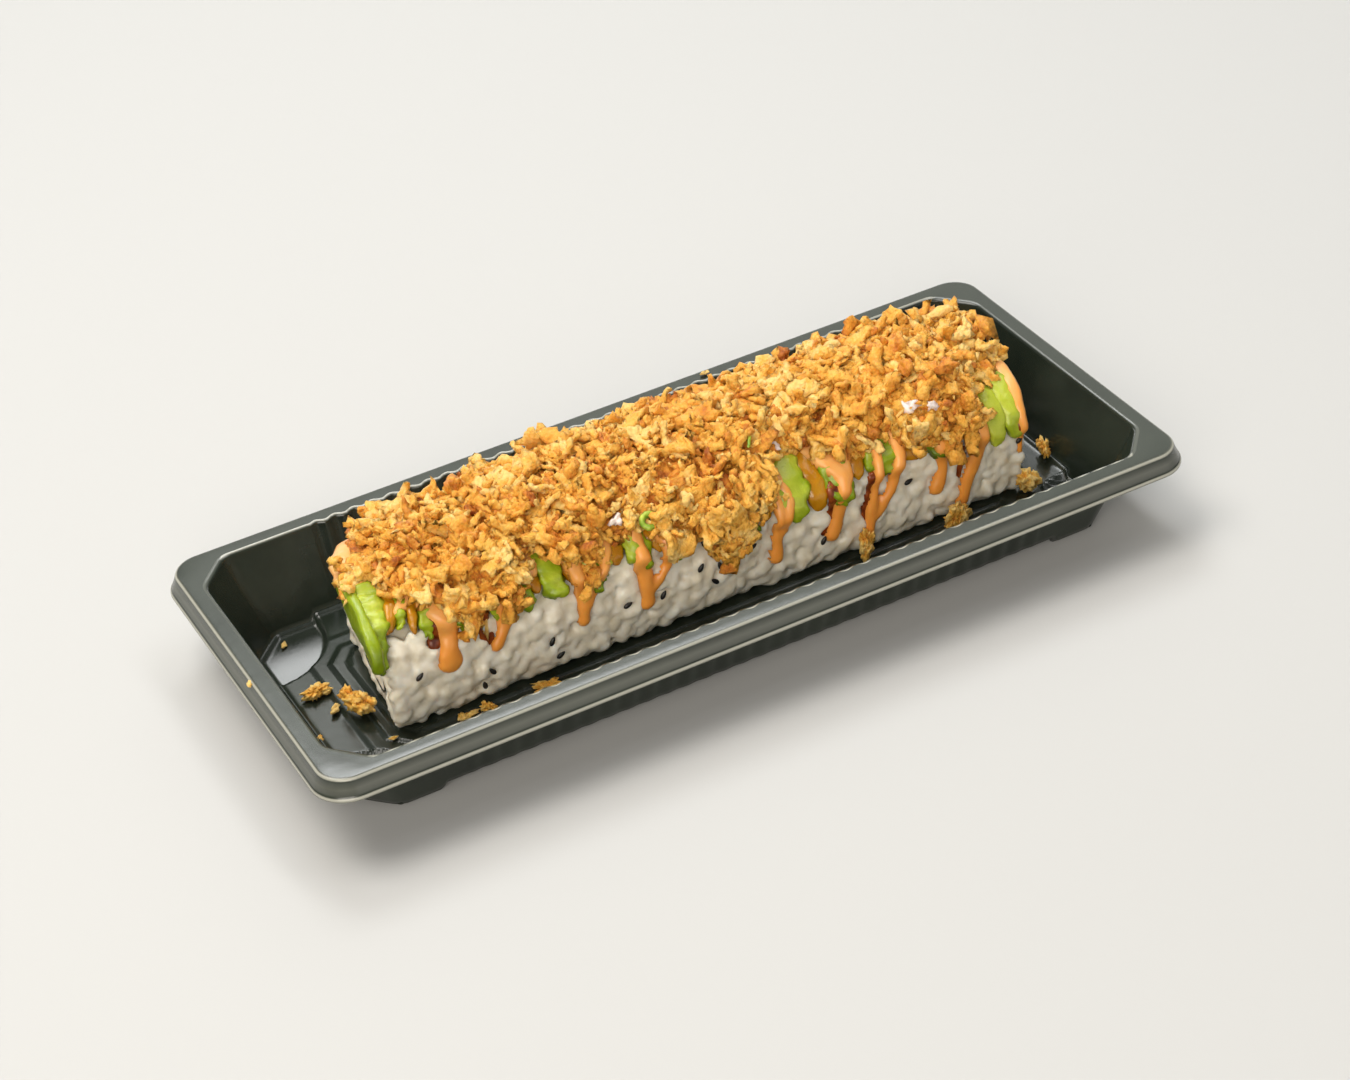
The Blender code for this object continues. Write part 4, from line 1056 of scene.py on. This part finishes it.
onionSettings = {
    "left": -77.5, "right": 79.0, "topLimit": 43.4,
    "lift": (
        (-76, 2.5), (-65, 3.8), (-50, 5.6), (-40, 7.4), (-9, 7.4), (0, 6.2), (60, 5.8), (70, 4.2),
        (79, 3.2),
    ),
    "cover": 3.2,
    # lower edge of the onion on the front: X and arc from the top's middle
    "edge": (
        (-79.6, 0.6), (-77.6, -3.2), (-73.6, -4.6), (-71.6, -8), (-67.6, -10), (-64.4, -13), (-60, -17),
        (-56.8, -18.6), (-52.8, -19.2), (-50, -16), (-48.8, -18.6), (-45.6, -18.4), (-43.6, -13.6),
        (-38, -11), (-36, -13.8), (-32.4, -16.8), (-28.4, -17.6), (-25.4, -14.6), (-21, -13.6),
        (-17.2, -14.6), (-14.8, -15.8), (-12.4, -18.2), (-8, -18.8), (-5, -16.5), (-2, -22.6),
        (1.6, -23.4), (4, -20.8), (5.6, -17.4), (8, -18.6), (10.8, -19.6), (12.4, -18.4), (16.8, -16),
        (18, -11.6), (22, -10.6), (26.4, -11.6), (30.4, -14.2), (34.4, -13.6), (36, -16), (39.2, -14.4),
        (44.2, -12.6), (46.8, -17.6), (52.8, -19.4), (59.6, -19.2), (61.2, -17.8), (66.4, -18),
        (68.4, -11.6), (75.6, -8.6), (82.4, -2.8),
    ),
    "backEdge": 17.5,
    "clumps": 90, "lumps": 250, "strips": 400, "chips": 900, "crumbs": 1500, "seed": 23,
    # flakes that stand out in the photo: X, arc, lift over the heap, turn, tilt, size and tone
    "large": (
        (-37, 3, 0.6, 8, 8, 13, 0.55), (-66, 12, 1.6, 60, 50, 8, 0.45), (-59, 12, 1.2, 15, 22, 10, 0.5),
        (-52, -2, 0.4, -25, 5, 9, 0.3), (-4, 6, 0.8, 30, 12, 10, 0.3), (8, 1, 0.6, -15, 8, 9.5, 0.2),
        (28, 5, 0.7, -30, 10, 10.5, 0.42), (40, -2, 0.6, -40, 8, 9, 0.35), (52, 7, 1, 20, 25, 10, 0.4),
        (70, 9, 1.6, 40, 35, 9, 0.3), (-24, -4, 0.5, 50, 10, 8, 0.5), (62, 10, 1.4, -10, 40, 9, 0.35),
    ),
    "chunks": (
        (64, 5, 10, 0.25), (69, 8, 9.5, 0.2), (59.5, 9, 9, 0.3), (-11, 9, 9, 0.2), (17, 8, 9, 0.22),
        (-47, 7, 8.5, 0.3), (36, 9, 8.5, 0.18),
    ),
}


def friedOnion():
    # Battered onion fried crisp: dry, crumbly golden crust, paler inside, brown where thin
    material, tree, shader = newMaterial("crisp fried onion", 0.46, 1.45, (0.12, (1.2, 0.6, 0.2)))
    stops = [(0.2, "#9C4E12"), (0.4, "#D28028"), (0.6, "#EDA63A"), (0.8, "#F6BA50"), (1.0, "#FAD07C")]
    setColour(tree, shader, stops, addSum(tree, addNoise(tree, 1.8, 4.0, 0.65), 0.85, addTone(tree)))
    place = addNode(tree, "ShaderNodeTexCoord")
    knobs = addNode(tree, "ShaderNodeTexVoronoi", {"Scale": 1 / mm}, {"Vector": place.outputs["Object"]})
    both = addNode(tree, "ShaderNodeMath", {"operation": "SUBTRACT"},
                   {0: addNoise(tree, 0.6, 4.0, 0.7), 1: knobs.outputs["Distance"]})
    setBump(tree, shader, 1.0, 0.5, both.outputs["Value"])
    return material


def onionCluster(seed, knobs, reach, thick):
    # Battered onion as a run of crumbly knobs that overlap along a bent line
    rng = random.Random(seed)
    bm = bmesh.new()
    curl, sway = rng.uniform(-0.3, 0.3), rng.uniform(-0.3, 0.3)
    tones = []
    for knob in range(knobs):
        t = (knob + 0.5) / knobs * 2 - 1
        place = Vector((t * reach + rng.uniform(-0.04, 0.04), sway * t * t + rng.uniform(-0.6, 0.6) * thick,
                        curl * t * t + rng.uniform(-0.4, 0.4) * thick))
        radius = thick * rng.uniform(0.7, 1.2)
        turn = turned(rng.uniform(0, 3.1)) @ turned(rng.uniform(0, 3.1), "X")
        form = Matrix.Diagonal((radius * rng.uniform(1.0, 1.7), radius, radius * rng.uniform(0.55, 0.95), 1))
        laid = Matrix.Translation(place) @ turn @ form
        made = bmesh.ops.create_icosphere(bm, subdivisions=2, radius=1.0, matrix=laid)
        tones += [rng.uniform(-0.12, 0.12)] * len(made["verts"])
    roughen(bm, 0.2, 0.16, seed, octaves=2)
    return toTemplate("clusterShape", bm, tones)


def onionLump(seed, fineness, knob=2.4):
    # A crumbly clump: a sphere pushed out round scattered centres, paler where it stands out and darker in
    # its dents, as painted shade
    bm = bmesh.new()
    bmesh.ops.create_icosphere(bm, subdivisions=fineness, radius=1.0)
    offset = Vector((seed * 9.1, seed * 4.7, seed * 2.3))
    tones = []
    for vert in bm.verts:
        place = vert.co.copy()
        near = noise.voronoi(place * knob * 0.55 + offset)[0][0]
        small = noise.voronoi(place * knob * 1.3 + offset)[0][0]
        coarse = noise.noise(place * 1.0 + offset)
        fine = noise.noise(place * 6.0 + offset)
        push = 0.5 * coarse - 0.85 * near ** 1.4 - 0.5 * small + 0.14 * fine
        vert.co = place * (1.3 + push)
        # painted shade: the dents get a darker tone than the knobs
        tones.append(0.6 * (push + 0.5))
    bmesh.ops.scale(bm, verts=bm.verts, vec=(0.56, 0.4, 0.32))
    return toTemplate("lumpShape", bm, tones)


def onionChip(seed, slim):
    # A curled shaving: a grid with ragged edges, bent, given thickness and roughened
    rng = random.Random(seed)
    bm = bmesh.new()
    bmesh.ops.create_grid(bm, x_segments=11, y_segments=3, size=1.0)
    curl, cup, twist = rng.uniform(-0.55, 0.55), rng.uniform(-0.3, 0.3), rng.uniform(-0.8, 0.8)
    offset = Vector((seed * 5.1, seed * 2.9, 0))
    for vert in bm.verts:
        x, y = vert.co.x, vert.co.y
        edge = max(abs(x), abs(y))
        ragged = 1 + 0.5 * noise.noise(Vector((x * 4.2, y * 1.3, 0)) + offset) * edge
        width = slim * (1 - 0.3 * x * x) * max(0.45, 1 + 0.9 * noise.noise(Vector((x * 3.1, 0, y)) + offset))
        wave = 0.1 * noise.noise(Vector((x * 3.5, y * 2, 3)) + offset)
        vert.co = (x * ragged * 0.5, y * width * 0.5,
                   (curl * x * x + cup * y * y * slim + twist * x * y * slim) * 0.5 + wave)
    bmesh.ops.recalc_face_normals(bm, faces=bm.faces)
    bmesh.ops.solidify(bm, geom=bm.faces, thickness=0.15)
    relax(bm, 0.35)
    bmesh.ops.recalc_face_normals(bm, faces=bm.faces)
    roughen(bm, 0.1, 0.16, seed, octaves=2)
    for vert in bm.verts:
        vert.co *= min(1.0, 0.62 / max(vert.co.length, 1e-6))
    tones = [0.25 * noise.noise(vert.co * 3 + offset) - 0.1 * abs(vert.co.x) for vert in bm.verts]
    return toTemplate("chipShape", bm, tones)


def onionReach(x):
    front = alongX(onionSettings["edge"], x) + 1.6 * noise.noise(Vector((x / 2.2, 0.4, 0.8)))
    return front, onionSettings["backEdge"]


def onionLift(x, arc):
    # The heap's own height over the slices
    front, back = onionReach(x)
    share = min(max((arc - front) / (back - front), 0.0), 1.0)
    endLeft = min(max((x - onionSettings["left"] + 3) / 8, 0.0), 1.0)
    endRight = min(max((onionSettings["right"] + 2 - x) / 8, 0.0), 1.0)
    taper = min(endLeft, endRight) ** 0.5
    bumpy = noise.noise(Vector((x / 12, arc / 12, 4.2))) * 1.7
    bumpy += noise.noise(Vector((x / 5, arc / 5, 1.2))) * 1.3
    dome = math.sin(math.pi * share) ** 0.55
    return dome * taper * (alongX(onionSettings["lift"], x) + bumpy)


def onHeap(x, arc, lift):
    return frameOnRoll(x, arc, onionSettings["cover"] + onionLift(x, arc) + lift)


def onionPlaces(rng, count, kinds, sizes, sink, edgeBias, lean):
    # Scattered over the heap; pieces that lie deeper are darker as painted shade, and their tone varies in
    # patches
    placed = []
    tries = 0
    while len(placed) < count and tries < count * 5:
        tries += 1
        x = rng.uniform(onionSettings["left"], onionSettings["right"])
        front, back = onionReach(x)
        arc = front + (back - front) * rng.random() ** edgeBias
        if x < -70 and arc > 1:
            continue
        depth = rng.uniform(*sink)
        size = sizes[0] + (sizes[1] - sizes[0]) * rng.random() ** 1.6
        matrix = onHeap(x, arc, -depth) @ turned(rng.uniform(0, 2 * math.pi))
        matrix = matrix @ turned(rng.gauss(0, lean), "Y") @ turned(rng.gauss(0, lean), "X")
        stretch = Matrix.Diagonal((rng.uniform(0.85, 1.25), rng.uniform(0.8, 1.2), rng.uniform(0.8, 1.3), 1))
        matrix = matrix @ Matrix.Scale(size, 4) @ stretch
        if matrix.translation.z + size * 0.5 > onionSettings["topLimit"]:
            continue
        patchy = noise.noise(Vector((x / 8, arc / 8, 8.8))) * 0.2
        # painted shade: a piece sunk deeper in the heap is darker
        tone = min(max(rng.gauss(0.32 + patchy, 0.12) - 0.08 * depth, -0.2), 0.7)
        placed.append((rng.randrange(kinds), matrix, tone))
    return placed


def makeOnionCore(material):
    # A bed under the flakes, darker than they are as painted shade between them: a grid laid over the slices,
    # open only where it is buried
    bm = bmesh.new()
    bmesh.ops.create_grid(bm, x_segments=230, y_segments=56, size=0.5)
    tone = bm.verts.layers.float.new("tone")
    left, right = onionSettings["left"] + 3.0, onionSettings["right"] - 1.5
    for vert in bm.verts:
        x = left + (vert.co.x + 0.5) * (right - left)
        front, back = onionReach(x)
        arc = front + 0.8 + (back - front - 0.8) * (vert.co.y + 0.5)
        border = max(abs(vert.co.x), abs(vert.co.y)) > 0.499
        knob = noise.voronoi(Vector((x / 2.6, arc / 2.6, 0.5)))[0][0]
        height = onionSettings["cover"] - 0.9 + onionLift(x, arc) * 0.84 + 1.1 * (0.5 - knob)
        if border:
            height = onionSettings["cover"] - 1.6
        vert.co = Vector(onRoll(x, arc, height))
        # painted shade: the tone is darker in the bed's hollows, where the knob is large
        vert[tone] = 0.2 - 0.4 * knob
    faceUp(bm)
    roughen(bm, 0.8, 1.3, 6)
    thicken(makePiece("onionBed", bm, material, ["crispy_onion_heap"]), 0.6)


def makeOnion():
    rng = random.Random(onionSettings["seed"])
    crust = friedOnion()
    makeOnionCore(crust)
    clumps = [onionLump(seed, 4) for seed in range(12)]
    lumps = [onionCluster(seed + 40, 5, 0.26, 0.24) for seed in range(8)]
    lumps += [onionLump(seed + 40, 3) for seed in range(14)]
    strips = [onionCluster(seed + 120, 5, 0.44, 0.11 + 0.012 * (seed % 4)) for seed in range(24)]
    slims = (0.52, 0.45, 0.38, 0.31, 0.25)
    chips = [onionChip(seed, slims[seed % len(slims)]) for seed in range(30)]
    crumbs = [onionLump(seed + 80, 2, 1.6) for seed in range(16)]
    # name, shapes, count, sizes, depth under the heap's surface, bias to the front, tilt
    for name, shapes, count, sizes, sink, bias, lean in (
            ("onionClumps", clumps, "clumps", (5.4, 9.0), (0.9, 2.4), 1.1, 0.4),
            ("onionLumps", lumps, "lumps", (3.0, 6.0), (0.4, 2.0), 1.1, 0.5),
            ("onionStrips", strips, "strips", (6.0, 11.0), (-0.3, 1.5), 1.1, 0.4),
            ("onionChips", chips, "chips", (4.2, 9.6), (-0.8, 1.0), 1.1, 0.45),
            ("onionCrumbs", crumbs, "crumbs", (0.9, 2.3), (-0.7, 1.3), 1.15, 0.5)):
        placed = onionPlaces(rng, onionSettings[count], len(shapes), sizes, sink, bias, lean)
        makePiece(name, joinCopies(shapes, placed), crust)
    placed = []
    for number, (x, arc, lift, turn, tilt, size, tone) in enumerate(onionSettings["large"]):
        matrix = onHeap(x, arc, lift) @ turned(math.radians(turn)) @ turned(math.radians(-tilt), "Y")
        placed.append((number, matrix @ Matrix.Scale(size, 4), tone))
    for x, arc, size, tone in onionSettings["chunks"]:
        kind = len(chips) + rng.randrange(len(clumps))
        matrix = onHeap(x, arc, -0.6) @ Matrix.Scale(size, 4) @ turned(rng.uniform(-0.6, 0.6))
        placed.append((kind, matrix, tone))
    makePiece("onionLargeFlakes", joinCopies(chips + clumps, placed), crust)
    return crust, clumps, lumps


onionCrust, clumpShapes, lumpShapes = makeOnion()


# Pale bits and spring onion among the flakes

garnishSettings = {
    # X, arc and size
    "pale": (
        (44, -9, 4.4), (50.4, -12.8, 4.8), (54.8, -14, 3.2), (18.5, -10, 3.8), (-20.5, -12.6, 3.4),
    ),
    "ring": (-14.0, -14.5, 1.5, 0.7),       # X, arc, radius and thickness
    "strand": (14.0, -9.0, 6.0),
}


def garnishMaterial(name, stops, wavelength):
    # Cut raw onion: wet, a little translucent, streaked
    material, tree, shader = newMaterial(name, 0.3, 1.4, (0.4, (1.0, 1.0, 0.7)))
    setColour(tree, shader, stops, addNoise(tree, wavelength, 3.0))
    return material


def makeGarnish():
    rng = random.Random(8)
    placed = []
    for x, arc, size in garnishSettings["pale"]:
        matrix = onHeap(x, arc, 1.3) @ turned(rng.uniform(0, 3.1)) @ Matrix.Scale(size, 4)
        placed.append((rng.randrange(len(lumpShapes)), matrix, 0))
    shallot = garnishMaterial("raw shallot", [(0.35, "#D6C2BC"), (0.6, "#F2E6DC")], 1.5)
    makePiece("paleBits", joinCopies(lumpShapes, placed), shallot)
    x, arc, radius, thick = garnishSettings["ring"]
    ring = bmesh.new()
    upright = Matrix.Translation((radius, 0, 0)) @ turned(math.pi / 2, "X")
    bmesh.ops.create_circle(ring, segments=10, radius=thick, matrix=upright)
    bmesh.ops.spin(ring, geom=ring.verts[:] + ring.edges[:], cent=(0, 0, 0), axis=(0, 0, 1),
                   angle=2 * math.pi, steps=24, use_merge=True)
    bmesh.ops.transform(ring, verts=ring.verts, matrix=onHeap(x, arc, 0.9))
    x, arc, length = garnishSettings["strand"]
    laid = onHeap(x, arc, 0.9) @ turned(1.0) @ Matrix.Diagonal((length / 2, 0.45, 0.35, 1))
    bmesh.ops.create_icosphere(ring, subdivisions=3, radius=1.0, matrix=laid)
    bmesh.ops.recalc_face_normals(ring, faces=ring.faces)
    roughen(ring, 0.3, 1.2, 3)
    leaf = garnishMaterial("spring onion", [(0.35, "#5E8A24"), (0.65, "#B9C64A")], 2.5)
    makePiece("springOnion", ring, leaf)


makeGarnish()


# Loose flakes and crumbs in the tray

looseSettings = {
    # place of each flake's node: middle X and Y, length, width, height and turn in degrees
    "flakes": (
        (-83, 6.6, 8, 4.8, 3.6, 20), (-79.7, -3.7, 8.6, 6.2, 6.6, -55), (-56.9, -19.6, 3.8, 3, 3, -35),
        (-41.4, -19.4, 9.6, 3, 2.4, 4), (35.4, -19.2, 6.2, 4.6, 9.4, 60),
        (57.4, -20.6, 9.6, 4.6, 8.4, 12), (77.8, -17.4, 8.4, 6, 7.4, -28),
        (88.4, -7.4, 6.6, 3.4, 5.6, 72),
    ),
    "crumbs": (
        (-83.4, -0.2, 3.4, 3, 35), (-89.6, -7.2, 2.9, 2.4, 70), (-73.6, -10.9, 3.8, 2.4, 10),
        (-60.8, -18.8, 3.9, 3.8, 10), (-62.6, -18.2, 3.9, 2, 60), (-84.6, -19.4, 2.9, 2.6, 80),
        (-77, -16.5, 3.6, 1.6, 0), (-89.4, 28.6, 1.3, 1.8, 0), (-81.5, -19.7, 2.9, 1.4, 30),
        (-83, 29.3, 1.3, 2, 60), (30.1, 42.2, 21.6, 2, 10), (-101, -4.3, 20.6, 1.8, 80),
    ),
    "seed": 31,
}


def makeLooseFlakes():
    rng = random.Random(looseSettings["seed"])
    for number, (x, y, length, width, height, turn) in enumerate(looseSettings["flakes"], start=1):
        z = float(floorHeight(np.array(x), np.array(y)))
        placed = []
        spin = turned(math.radians(turn))
        for part in range(4):
            kind = rng.randrange(len(clumpShapes))
            shift = Matrix.Translation((rng.uniform(-0.24, 0.24) * length, rng.uniform(-0.2, 0.2) * width,
                                        rng.uniform(0.3, 0.62) * height))
            size = Matrix.Diagonal((length * 0.62, width * 0.8, height * 1.1, 1))
            twist = turned(rng.uniform(-0.6, 0.6))
            matrix = Matrix.Translation((x, y, z)) @ spin @ shift @ twist @ size
            placed.append((kind, matrix, rng.uniform(0.25, 0.5)))
        joined = joinCopies(clumpShapes, placed)
        for vert in joined.verts:
            vert.co.z = max(vert.co.z, z)
        makePiece(f"looseFlake{number}", joined, onionCrust, [f"onion_flake_{number}"])


def makeCrumbs():
    rng = random.Random(looseSettings["seed"] + 1)
    placed = []
    for x, y, z, size, turn in looseSettings["crumbs"]:
        matrix = Matrix.Translation((x, y, z)) @ turned(math.radians(turn))
        matrix = matrix @ Matrix.Diagonal((size * 1.3, size * 0.8, size * 0.7, 1))
        placed.append((rng.randrange(len(lumpShapes)), matrix, rng.uniform(0.4, 0.75)))
    makePiece("trayCrumbs", joinCopies(lumpShapes, placed), onionCrust)


makeLooseFlakes()
makeCrumbs()
print("all pieces made")
